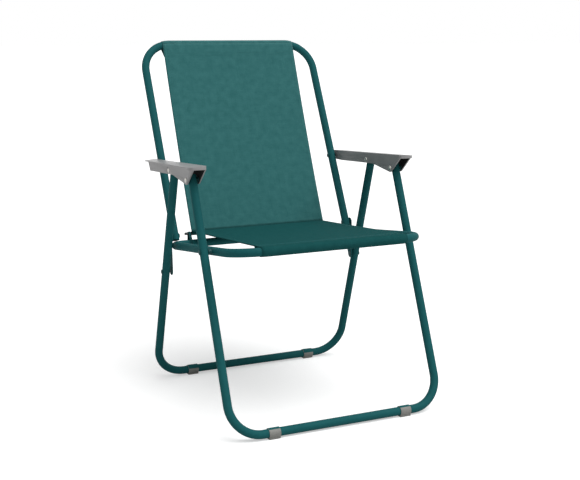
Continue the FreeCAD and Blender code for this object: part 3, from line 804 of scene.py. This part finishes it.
@dataclass
class TubeFrames:
    """The four bent tube frames."""

    layout: Layout
    finishes: Finishes
    top_bend: float = 0.066
    ground_bend: float = 0.066
    seat_front_bend: float = 0.066
    seat_rear_bend: float = 0.035
    end_margin: float = 0.010
    seam_gap: float = 0.0004
    rim_angle: float = 40.0

    def flat_path(
        self, stops: Sequence[tuple[float, Points]], bends: Sequence[float], run: Points
    ) -> tuple[Points, Points]:
        """A bent path in a plane that holds the X direction.

        Args:
            stops: the corners, as a place across the chair and a side-view (y, z).
            bends: one bend radius for each inner corner.
            run: the plane's side-view direction.

        Returns:
            The path and the normal of its plane.
        """
        corners = [np.array([x, *place]) for x, place in stops]
        return rounded_path(corners, bends), np.array([0.0, -run[1], run[0]])

    def u_path(self, bar: Points, pivot: Points, half: float, bend: float) -> tuple[Points, Points]:
        """Path of a U whose cross tube is at bar and whose sides run past pivot.

        Args:
            bar: the cross tube's (y, z).
            pivot: the (y, z) of the pivot near the sides' ends.
            half: the U's half width.
            bend: radius of both bends.

        Returns:
            The path and the normal of its plane.
        """
        run = unit(pivot - bar)
        end = pivot + run * self.end_margin
        return self.flat_path([(-half, end), (-half, bar), (half, bar), (half, end)], [bend, bend], run)

    def seat_path(self) -> tuple[Points, Points]:
        """Path of the seat's loop, from the middle of its rear tube round to the middle again.

        Returns:
            The path and the normal of its plane.
        """
        half, rear, front = self.layout.back_half, self.layout.rear_bar, self.layout.front_bar
        start = self.seam_gap * half
        stops = [(-start, rear), (-half, rear), (-half, front), (half, front), (half, rear), (start, rear)]
        bends = [self.seat_rear_bend, self.seat_front_bend, self.seat_front_bend, self.seat_rear_bend]
        return self.flat_path(stops, bends, unit(front - rear))

    def build(self) -> None:
        """Makes each frame as a smooth tube in place of its CAD node."""
        here, ground = self.layout, self.ground_bend
        back, legs = here.back_half, here.leg_half
        swing, front_fold, rear_fold = map(joint_place, ("plate_swing", "front_leg_fold", "rear_leg_fold"))
        runs = {
            "back_frame": ("back", self.u_path(here.top_bar, swing, back, self.top_bend)),
            "front_leg_frame": ("front_legs", self.u_path(here.front_foot, front_fold, legs, ground)),
            "rear_leg_frame": ("rear_legs", self.u_path(here.rear_foot, rear_fold, legs, ground)),
            "seat_frame": ("seat", self.seat_path()),
        }
        for node, (body, (path, normal)) in runs.items():
            piece = capped_rings(f"{node}_tube", [sweep(path, normal, here.tube)], self.rim_angle)
            finish_piece(piece, body, "frame_paint", self.finishes.paint, node)


@dataclass
class Armrests:
    """The two moulded armrests, with rounded edges."""

    finishes: Finishes
    edge: float = 0.0012
    inner: float = 0.2264
    outer: float = 0.2556
    wall: float = 0.003
    nose_start: float = 0.02
    facing: float = 0.5

    def build(self) -> None:
        """Makes both shells from their CAD shapes."""
        for word in SIDES:
            node = f"armrest_{word}"
            piece = softened_copy(node, f"{node}_shell", self.edge)
            finish_piece(piece, "armrests", "armrest_plastic", self.finishes.armrest, node)
            self.paint_inside_shade(piece)

    def paint_inside_shade(self, piece: bpy.types.Object) -> None:
        """Paints shade on the channel's walls and ceiling: they get a dark grey finish that stands in for the
        shade in the hollow.

        A face is inside where it looks at the channel's middle plane, or down between the walls.

        Args:
            piece: one armrest's shell.
        """
        centres, normals = polygon_values(piece.data, "center"), polygon_values(piece.data, "normal")
        from_middle = np.abs(centres[:, 0]) - (self.inner + self.outer) / 2
        inwards = -normals[:, 0] * np.sign(centres[:, 0]) * from_middle
        facing = inwards > self.facing * np.abs(from_middle)
        between = np.abs(from_middle) < (self.outer - self.inner) / 2 - self.wall
        below = (normals[:, 2] < -SQUARE_ON) & between
        behind_nose = centres[:, 1] > joint_place("front_leg_fold")[0] - self.nose_start
        # The chosen faces get the dark grey that is painted shade.
        set_second_finish(piece, (facing | below) & behind_nose, self.finishes.armrest_painted_shade)


@dataclass
class Feet:
    """The four clips that the chair stands on: grey below, in the frame's colour over the tube."""

    layout: Layout
    finishes: Finishes
    edge: float = 0.0008
    grey_reach: float = math.radians(128)

    def build(self) -> None:
        """Makes the clips from their CAD shapes."""
        here = self.layout
        tubes = {
            "front": (here.front_foot, joint_place("front_leg_fold")),
            "rear": (here.rear_foot, joint_place("rear_leg_fold")),
        }
        for word in SIDES:
            for place, (axis, pivot) in tubes.items():
                node = f"{place}_foot_{word}"
                piece = softened_copy(node, f"{node}_clip", self.edge)
                finish_piece(piece, f"{place}_legs", "foot_plastic", self.finishes.foot, node)
                self.colour_top(piece, axis, unit(axis - pivot))

    def colour_top(self, piece: bpy.types.Object, axis: Points, downwards: Points) -> None:
        """Turns the faces over the tube to the frame's colour.

        Args:
            piece: the clip.
            axis: the ground tube's axis, as (y, z).
            downwards: the direction out of the clip's grey sole, in the leg frame's plane.
        """
        away = polygon_values(piece.data, "center")[:, 1:] - axis
        share = away @ downwards / np.maximum(np.linalg.norm(away, axis=1), TINY)
        ends = np.abs(polygon_values(piece.data, "normal")[:, 0]) > SQUARE_ON
        set_second_finish(piece, (share < math.cos(self.grey_reach)) & ~ends, self.finishes.paint)


@dataclass
class Rivets:
    """Domed rivets, one run of rings along X for each.

    Stations are (distance from the middle plane, radius) pairs from the inner end outwards.
    """

    layout: Layout
    finishes: Finishes
    shank: float = 0.0025
    head: float = 0.0052
    rise: float = 0.0023
    rim: float = 0.0004
    rim_share: float = 0.96
    crown: float = 0.00005
    step: float = 0.0002
    collar: float = 0.0058
    washer: float = 0.0026
    rail_washer: float = 0.0028
    arm_inner: float = 0.2264
    arm_outer: float = 0.2556
    arm_wall: float = 0.003
    dish: float = 0.0008
    plate: float = 0.0020
    plate_outer: float = 0.2285
    plate_gap: float = 0.0003
    bush_reach: float = 0.006
    pin_reach: float = 0.022
    sharp: float = 38.0
    dome_points: int = 8

    def dome(self, face: float, outwards: float) -> Points:
        """A head on a face: a rim, then a quarter ellipse up to the crown.

        Args:
            face: distance of the face from the middle plane.
            outwards: 1 for a head outside the face, -1 for one inside it.

        Returns:
            Stations from the face to the crown.
        """
        t = np.linspace(0, math.pi / 2, self.dome_points)
        x = face + outwards * (self.rim + (self.rise - self.rim) * np.sin(t))
        r = np.maximum(self.head * np.cos(t), self.crown)
        return np.concatenate([[[face, self.head * self.rim_share]], np.stack([x, r], axis=1)])

    def stations(
        self, inner: float, outer: float, tail: bool = True, head: bool = True, collar: Pair | None = None
    ) -> Points:
        """One rivet's stations.

        Args:
            inner: where its shank starts.
            outer: where its shank ends.
            tail: whether it has a head at its inner end.
            head: whether it has one at its outer end.
            collar: where its collar starts and ends, if it has one.

        Returns:
            The stations.
        """
        thin = self.shank
        parts = [self.dome(inner, -1.0)[::-1]] if tail else []
        parts.append(np.array([[inner, thin], [inner + self.step, thin]]))
        if collar:
            start, end = collar
            parts.append(np.array([[start, thin], [start, self.collar], [end, self.collar], [end, thin]]))
        parts.append(np.array([[outer - self.step, thin], [outer, thin]]))
        if head:
            parts.append(self.dome(outer, 1.0))
        return np.concatenate(parts)

    def plans(self) -> dict[str, tuple[str, Points, Points]]:
        """Sets out the rivets.

        Returns:
            For each CAD node its body, its side-view place and its stations.
        """
        tube, back, leg = self.layout.tube, self.layout.back_half, self.layout.leg_half
        in_leg, in_back, by_back = leg - tube, back - tube, back + tube
        by_plate = self.plate_outer + self.plate_gap
        front_fold, rear_fold, arm_fold = map(joint_place, ("front_leg_fold", "rear_leg_fold", "arm_fold"))
        swing, seat_fold = joint_place("plate_swing"), joint_place("seat_fold")
        seat_pin, leg_pin = node_middle("seat_rail_rivets"), node_middle("plate_leg_rivets")
        inner_end, outer_end = in_leg - self.washer - self.step, by_back + self.rail_washer + self.step
        washer, rail_washer = (in_leg - self.washer, in_leg), (by_back, by_back + self.rail_washer)
        bush = (back - self.bush_reach, self.plate_outer - self.plate)
        make, out_leg, deep = self.stations, leg + tube, back - self.pin_reach
        return {
            "front_leg_rivets": ("armrests", front_fold, make(self.arm_inner, self.arm_outer)),
            "rear_leg_rivets": ("armrests", rear_fold, make(self.arm_inner, self.arm_outer - self.dish)),
            "back_rivets": ("back", arm_fold, make(in_back, self.arm_inner + self.arm_wall)),
            "seat_leg_rivets": ("front_legs", seat_pin, make(inner_end, out_leg, tail=False, collar=washer)),
            "seat_rail_rivets": ("seat", seat_pin, make(in_back, outer_end, head=False, collar=rail_washer)),
            "plate_back_rivets": ("back", swing, make(in_back, by_plate)),
            "plate_seat_rivets": ("seat", seat_fold, make(deep, by_plate, tail=False, collar=bush)),
            "plate_leg_rivets": ("rear_legs", leg_pin, make(in_leg, out_leg, tail=False)),
        }

    def build(self) -> None:
        """Makes every set of rivets in place of its CAD node."""
        for node, (body, place, stations) in self.plans().items():
            groups = [revolve(stations, place, side) for side in SIDES.values()]
            piece = capped_rings(f"{node}_domed", groups, self.sharp)
            material = self.finishes.steel if body == "armrests" else self.finishes.painted_rivet
            finish_piece(piece, body, "rivet_steel", material, node)


@dataclass
class SmallHardware:
    """CAD nodes whose shapes stay, with their finishes."""

    finishes: Finishes
    plate_edge: float = 0.0004

    def build(self) -> None:
        """Dresses the kept nodes and softens the side plates' edges."""
        kept = {
            "plate_leg_bushes": self.finishes.painted_rivet,
            "armrest_washers": self.finishes.plug,
            "back_end_plugs": self.finishes.plug,
            "front_leg_plugs": self.finishes.plug,
            "rear_leg_plugs": self.finishes.plug,
            "seat_tube_joiner": self.finishes.steel,
            "crease_rod": self.finishes.rod,
            "crease_ties": self.finishes.webbing,
        }
        for node, material in kept.items():
            mesh = frame["nodes"][node].data
            mesh.materials.clear()
            mesh.materials.append(material)
            LOG.info("%s keeps its CAD shape", node)
        for word in SIDES:
            node = f"side_plate_{word}"
            piece = softened_copy(node, f"{node}_pressed", self.plate_edge)
            finish_piece(piece, "side_plates", "frame_paint", self.finishes.paint, node)


@dataclass
class Panel:
    """A stretched stretch of sling between the crease and a bar.

    A point is crease + s * (tangent point - crease), moved behind the face by
    4 s (1 - s) * (edge sag + middle sag * (1 - (x / half)^2)).
    """

    crease: Points
    bar: Points
    wrap: float
    face: float
    half: float
    edge_sag: float
    middle_sag: float
    straight: float
    bend: float

    def droop(self, x: Points) -> Points:
        """How far the bar has curved towards the crease: R - sqrt(R^2 - (|x| - straight)^2)."""
        past = np.clip(np.abs(x) - self.straight, 0.0, self.bend)
        return self.bend - np.sqrt(self.bend**2 - past**2)

    def touch(self) -> Points:
        """Where the cloth leaves the bar, on the face's side.

        Returns:
            The tangent point's (y, z).
        """
        line = self.crease - self.bar
        reach = float(np.linalg.norm(line))
        angle = math.atan2(line[1], line[0]) - self.face * math.acos(self.wrap / reach)
        return self.bar + self.wrap * np.array([math.cos(angle), math.sin(angle)])

    def outward(self) -> Points:
        """Direction, in the side view, that the face looks in."""
        return unit(self.touch() - self.bar)

    def length(self) -> float:
        """Straight length from the crease to the bar."""
        return float(np.linalg.norm(self.touch() - self.crease))

    def at(self, x: Points, s: Points, lift: float = 0.0) -> Points:
        """Points of the cloth.

        Args:
            x: distances across the chair.
            s: shares of the way from the crease to the bar.
            lift: distance in front of the cloth's middle surface.

        Returns:
            Points as (..., 3).
        """
        x, s = np.broadcast_arrays(np.asarray(x, float), np.asarray(s, float))
        bow = self.edge_sag + self.middle_sag * (1 - np.minimum(1, np.abs(x) / self.half) ** 2)
        back = lift - 4 * s * (1 - s) * bow
        out = self.outward()
        run = self.touch() - self.crease
        share = s * (1 - self.droop(x) / np.linalg.norm(run))
        y = self.crease[0] + share * run[0] + back * out[0]
        z = self.crease[1] + share * run[1] + back * out[1]
        return np.stack([x, y, z], axis=-1)

    def patch(self, across: Points, along: Points, lift: float = 0.0) -> tuple[Points, Points]:
        """A rectangle of the cloth.

        Args:
            across: its columns' distances across the chair.
            along: its rows' shares of the way from the crease to the bar.
            lift: distance in front of the cloth's middle surface.

        Returns:
            Its points as (rows, columns, 3), and their places on the cloth in metres.
        """
        x, s = np.meshgrid(across, along)
        return self.at(x, s, lift), np.stack([x, s * self.length()], axis=-1)


@dataclass
class Sling:
    """The cloth: back and seat panels, their pockets, the crease sleeve, hems and stitches."""

    layout: Layout
    finishes: Finishes
    back_half: float = 0.168
    seat_half: float = 0.1655
    back_sag: Pair = (0.004, 0.004)
    seat_sag: Pair = (0.0005, 0.003)
    thickness: float = 0.0010
    wrap: float = 0.0098
    top_bend: float = 0.066
    front_bend: float = 0.066
    hem: float = 0.012
    hem_inset: float = 0.0002
    hem_span: Pair = (0.012, 0.985)
    hem_lift: float = 1.05
    hem_share: float = 0.8
    pocket_reach: float = 0.030
    sleeve: float = 0.0042
    stitch_pitch: float = 0.0042
    stitch_size: Pair = (0.0015, 0.00035)
    stitch_sides: int = 6
    seam_share: float = 0.75
    seam_gap: float = 0.006
    down_margins: Pair = (0.015, 0.010)
    across_margins: Pair = (0.004, 0.003)
    folded_keep: float = 0.565
    panel_grid: tuple[int, int] = (61, 81)
    hem_grid: tuple[int, int] = (5, 61)
    pocket_columns: int = 41
    sleeve_columns: int = 31
    arc_points: int = 33
    tail_points: int = 9
    entry_points: int = 5
    panels: dict[str, Panel] = field(default_factory=dict)

    def plan(self) -> None:
        """Sets out both panels."""
        here = self.layout
        self.panels["back"] = Panel(
            here.crease, here.top_bar, self.wrap, 1.0, self.back_half, *self.back_sag,
            here.back_half - self.top_bend, self.top_bend,
        )
        self.panels["seat"] = Panel(
            here.crease, here.front_bar, self.wrap, -1.0, self.seat_half, *self.seat_sag,
            here.back_half - self.front_bend, self.front_bend,
        )

    def cloth(
        self, name: str, sheets: Sequence[tuple[Points, Points]], share: float = 1.0
    ) -> bpy.types.Object:
        """A piece of cloth with its thickness.

        Args:
            name: the name of the piece.
            sheets: points as (rows, columns, 3) and their places on the cloth, for each sheet.
            share: its thickness as a share of the sling's.

        Returns:
            The piece, not yet dressed.
        """
        faces, base = [], 0
        for points, _ in sheets:
            rows, cols = points.shape[:2]
            faces.append(grid_faces(rows, cols) + base)
            base += rows * cols
        piece = surface(name, np.concatenate([points.reshape(-1, 3) for points, _ in sheets]), faces)
        set_uv(piece, np.concatenate([places.reshape(-1, 2) for _, places in sheets]))
        wall = piece.modifiers.new("cloth_thickness", "SOLIDIFY")
        wall.thickness = self.thickness * share
        wall.offset = 0.0
        wall.use_even_offset = True
        return piece

    def panel_sheet(self, key: str) -> bpy.types.Object:
        """One panel's cloth, from the crease to its bar.

        Args:
            key: the panel's name.

        Returns:
            The piece, not yet dressed.
        """
        panel = self.panels[key]
        columns, rows = self.panel_grid
        whole = panel.patch(np.linspace(-panel.half, panel.half, columns), np.linspace(0.0, 1.0, rows))
        return self.cloth(f"sling_{key}_panel", [whole])

    def loop_section(self, bar: Points, apex: Points, start: Points, turn: float) -> Points:
        """Side-view line that goes from start round a bar and straight on to apex.

        The arc is bar + radius * (cos t, sin t) from start's angle to the far tangent point from
        apex.

        Args:
            bar: the bar's (y, z).
            apex: the line's end.
            start: the line's start, whose distance from the bar is the radius.
            turn: 1 to go round from +Y towards +Z, -1 the other way.

        Returns:
            The line's points.
        """
        line = apex - bar
        radius = float(np.linalg.norm(start - bar))
        first = math.atan2(*(start - bar)[::-1])
        lean = math.acos(min(1.0, radius / float(np.linalg.norm(line))))
        last = math.atan2(line[1], line[0]) - turn * lean
        t = first + turn * np.linspace(0, (turn * (last - first)) % (2 * math.pi), self.arc_points)
        arc = bar + radius * np.stack([np.cos(t), np.sin(t)], axis=-1)
        tail = arc[-1] + (apex - arc[-1]) * np.linspace(0, 1, self.tail_points)[1:, None]
        return np.concatenate([arc, tail])

    def rolled(self, name: str, line: Points, x: Points, shift: Points, start: float) -> bpy.types.Object:
        """Cloth that follows a side-view line p right across the sling: (x, p + shift(x)).

        Args:
            name: the name of the piece.
            line: the line's points.
            x: places across the chair.
            shift: how far the line is moved at each of them, as (y, z).
            start: how far along the cloth the line starts.

        Returns:
            The piece, not yet dressed.
        """
        run = start + np.concatenate([[0], np.cumsum(np.linalg.norm(np.diff(line, axis=0), axis=1))])
        across, along = np.meshgrid(x, run)
        side_view = line[:, None, :] + shift[None, :, :]
        grid = np.concatenate([across[..., None], side_view], axis=-1)
        return self.cloth(name, [(grid, np.stack([across, along], axis=-1))])

    def pocket(self, key: str) -> bpy.types.Object:
        """The sling's end, round the bar and back to the seam behind the panel.

        Args:
            key: the panel's name.

        Returns:
            The piece, not yet dressed.
        """
        panel = self.panels[key]
        length = panel.length()
        apex = panel.at(0.0, 1 - self.pocket_reach / length, -self.thickness)[1:]
        line = self.loop_section(panel.bar, apex, panel.touch(), -panel.face)
        x = np.linspace(-panel.half, panel.half, self.pocket_columns)
        shift = panel.droop(x)[:, None] * unit(panel.crease - panel.bar)
        return self.rolled(f"sling_{key}_pocket", line, x, shift, length)

    def crease_sleeve(self) -> bpy.types.Object:
        """The hem that holds the rod: from the crease round the rod and back to the crease.

        Returns:
            The piece, not yet dressed.
        """
        rod, corner = self.layout.rod, self.layout.crease
        line = corner - rod
        angle = math.atan2(line[1], line[0]) - math.acos(self.sleeve / float(np.linalg.norm(line)))
        start = rod + self.sleeve * np.array([math.cos(angle), math.sin(angle)])
        entry = corner + (start - corner) * np.linspace(0, 1, self.entry_points)[:-1, None]
        section = np.concatenate([entry, self.loop_section(rod, corner, start, -1.0)])
        x = np.linspace(-self.seat_half, self.seat_half, self.sleeve_columns)
        return self.rolled("sling_crease_sleeve", section, x, np.zeros((len(x), 2)), 0.0)

    def side_hems(self, key: str) -> bpy.types.Object:
        """The two edges folded to the back of the panel, one strip down each side.

        Args:
            key: the panel's name.

        Returns:
            The piece, not yet dressed.
        """
        panel, (columns, rows) = self.panels[key], self.hem_grid
        along, strips = np.linspace(*self.hem_span, rows), []
        for side in SIDES.values():
            ends = sorted((side * (panel.half - self.hem), side * (panel.half - self.hem_inset)))
            across = np.linspace(*ends, columns)
            strips.append(panel.patch(across, along, -self.thickness * self.hem_lift))
        return self.cloth(f"sling_{key}_hems", strips, self.hem_share)

    def stitch_places(self, panel: Panel) -> tuple[Points, Points]:
        """Where the stitches are: down both hems and across the pocket's two seams.

        Args:
            panel: the panel that they hold.

        Returns:
            Their middles and the directions that they run in.
        """
        length, face = panel.length(), self.thickness / 2
        first, last = self.down_margins
        down = np.arange(first, length - last, self.stitch_pitch) / length
        left, right = self.across_margins
        across = np.arange(-panel.half + left, panel.half - right, self.stitch_pitch)
        seam = panel.half - self.hem * self.seam_share
        rows = [(np.full(down.shape, side * seam), down, 0.0) for side in SIDES.values()]
        for reach in (self.pocket_reach, self.pocket_reach - self.seam_gap):
            rows.append((across, np.full(across.shape, 1 - reach / length), 1.0))
        x, s = np.concatenate([row[0] for row in rows]), np.concatenate([row[1] for row in rows])
        crosswise = np.concatenate([np.full(len(row[0]), row[2]) for row in rows])[:, None]
        near = 0.002  # share of the panel's length over which its direction is read
        ahead, behind = panel.at(x, np.minimum(s + near, 1), face), panel.at(x, np.maximum(s - near, 0), face)
        along = crosswise * np.array([1.0, 0.0, 0.0]) + (1 - crosswise) * unit(ahead - behind)
        return panel.at(x, s, face), along

    def stitches(self, key: str) -> bpy.types.Object:
        """Rows of thread on the panel's face.

        Each stitch is a small spindle of rings: middle + l * along + r * (cos a * across + sin a * out)
        for each of the spindle's stations (l, r).

        Args:
            key: the panel's name.

        Returns:
            The piece, not yet dressed.
        """
        panel = self.panels[key]
        centre, along = (values[:, None, None, :] for values in self.stitch_places(panel))
        out = np.array([0.0, *panel.outward()])
        across = unit(np.cross(along, out))
        spindle = np.array([[-1.0, 0.25], [-0.5, 1.0], [0.5, 1.0], [1.0, 0.25]])
        l, r = (spindle * self.stitch_size).T[:, None, :, None, None]
        a = np.linspace(0, 2 * math.pi, self.stitch_sides, endpoint=False)[None, None, :, None]
        shape = centre + along * l + across * r * np.cos(a) + out * r * np.sin(a)
        rings, sides = len(spindle), self.stitch_sides
        starts = np.arange(len(centre))[:, None] * rings * sides
        own = grid_faces(rings, sides, wrap=True)
        ring = np.arange(sides)
        faces = [
            (own[None] + starts[:, None]).reshape(-1, 4),
            np.concatenate([starts + ring[::-1], starts + (rings - 1) * sides + ring]),
        ]
        points = shape.reshape(-1, 3)
        return surface(f"sling_{key}_stitches", points, turned_outwards(points, faces))

    def build(self) -> None:
        """Makes the whole sling."""
        self.plan()
        slot = "sling_fabric"
        cloths = {"back": self.finishes.back_cloth, "seat": self.finishes.shaded_seat_cloth}
        for body, panel in self.panels.items():
            sheet = finish_piece(self.panel_sheet(body), body, slot, cloths[body], f"sling_{body}")
            pocket = finish_piece(self.pocket(body), body, slot, cloths[body])
            hems = finish_piece(self.side_hems(body), body, slot, cloths[body])
            thread = finish_piece(self.stitches(body), body, slot, self.finishes.thread)
            panel.length()
            if body == "back":
                for piece in (sheet, hems, thread):
                    self.settle(piece)
        sleeve = finish_piece(self.crease_sleeve(), "seat", slot, self.finishes.shaded_seat_cloth)

    def run(self, piece: bpy.types.Object, width: float) -> float:
        """Length of a sheet along its run: its area divided by its width."""
        return sum(face.area for face in piece.data.polygons) / width

    def settle(self, piece: bpy.types.Object) -> None:
        """Lets the back's cloth move forward to the tubes as the chair folds and the crease rises.

        Args:
            piece: one of the back panel's pieces.
        """
        tubes = unit(self.layout.top_bar - joint_place("plate_swing"))
        anchor = (0.0, *map(float, self.panels["back"].touch()))
        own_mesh(piece)


# ---- studio --------------------------------------------------------------------------------------

@dataclass
class Studio:
    """Floor, soft light and the camera."""

    target: Triple = (0.0048, -0.0441, 0.3477)
    azimuth: float = 25.43
    elevation: float = 10.854
    distance: float = 2.397
    lens: float = 67.21
    sensor: float = 36.0
    sky: float = 0.46
    sun: float = 2.9
    sun_spread: float = 55.0
    sun_way: Triple = (-0.25, 0.42, -1.0)
    floor_half: float = 60.0
    floor_grey: float = 0.7
    floor_glow: float = 0.42

    def camera(self) -> None:
        """Camera on a sphere about the target, looking at it."""
        a, e = math.radians(self.azimuth), math.radians(self.elevation)
        forward = Vector((math.sin(a) * math.cos(e), math.cos(a) * math.cos(e), -math.sin(e)))
        data = bpy.data.cameras.new("camera")
        data.lens = self.lens
        data.sensor_width = self.sensor
        camera = placed("camera", data)
        camera.location = Vector(self.target) - forward * self.distance
        camera.rotation_euler = forward.to_track_quat("-Z", "Y").to_euler()
        bpy.context.scene.camera = camera

    def floor(self) -> None:
        """A wide pale floor just under the feet, which glows a little for the camera only."""
        corners = np.array([[-1, -1, 0], [1, -1, 0], [1, 1, 0], [-1, 1, 0]]) * self.floor_half
        floor = surface("floor", corners, [np.array([[0, 1, 2, 3]])])
        material = bpy.data.materials.new("pale_floor")
        material.use_nodes = True
        tree = material.node_tree
        shader = tree.nodes["Principled BSDF"]
        shader.inputs["Base Color"].default_value = (*[self.floor_grey] * 3, 1.0)
        shader.inputs["Roughness"].default_value = 1.0
        shader.inputs["Specular IOR Level"].default_value = 0.0
        shader.inputs["Emission Color"].default_value = (1.0, 1.0, 1.0, 1.0)
        path = tree.nodes.new("ShaderNodeLightPath")
        glow = math_node(tree, "MULTIPLY", path.outputs["Is Camera Ray"], self.floor_glow)
        tree.links.new(glow, shader.inputs["Emission Strength"])
        floor.data.materials.append(material)

    def sky_light(self) -> None:
        """An even sky that lights softly and is itself seen as white."""
        world = bpy.data.worlds.new("studio")
        world.use_nodes = True
        tree = world.node_tree
        background = tree.nodes["Background"]
        background.inputs["Color"].default_value = (1.0, 1.0, 1.0, 1.0)
        path = tree.nodes.new("ShaderNodeLightPath")
        direct = math_node(tree, "MAXIMUM", path.outputs["Is Camera Ray"], path.outputs["Is Glossy Ray"])
        seen = math_node(tree, "MULTIPLY", direct, 1.0 - self.sky)
        tree.links.new(math_node(tree, "ADD", seen, self.sky), background.inputs["Strength"])
        bpy.context.scene.world = world

    def sun_light(self) -> None:
        """A wide soft sun from above, a little in front and to the sitter's left."""
        data = bpy.data.lights.new("soft_sun", "SUN")
        data.energy = self.sun
        data.angle = math.radians(self.sun_spread)
        lamp = placed("soft_sun", data)
        lamp.rotation_euler = Vector(self.sun_way).to_track_quat("-Z", "Y").to_euler()

    def build(self) -> None:
        """Sets the whole studio up."""
        bpy.context.scene.view_settings.view_transform = "Standard"
        self.sky_light()
        self.floor()
        self.camera()
        self.sun_light()


def main() -> None:
    """Builds the chair's pieces in order and then the studio."""
    logging.basicConfig(level=logging.INFO, format="%(name)s: %(message)s")
    layout = Layout()
    finishes = Finishes()
    builders: list[Callable[[], None]] = [
        TubeFrames(layout, finishes).build,
        Armrests(finishes).build,
        Feet(layout, finishes).build,
        Rivets(layout, finishes).build,
        SmallHardware(finishes).build,
        Sling(layout, finishes).build,
        Studio().build,
    ]
    for build in builders:
        build()


if __name__ == "__main__":
    main()
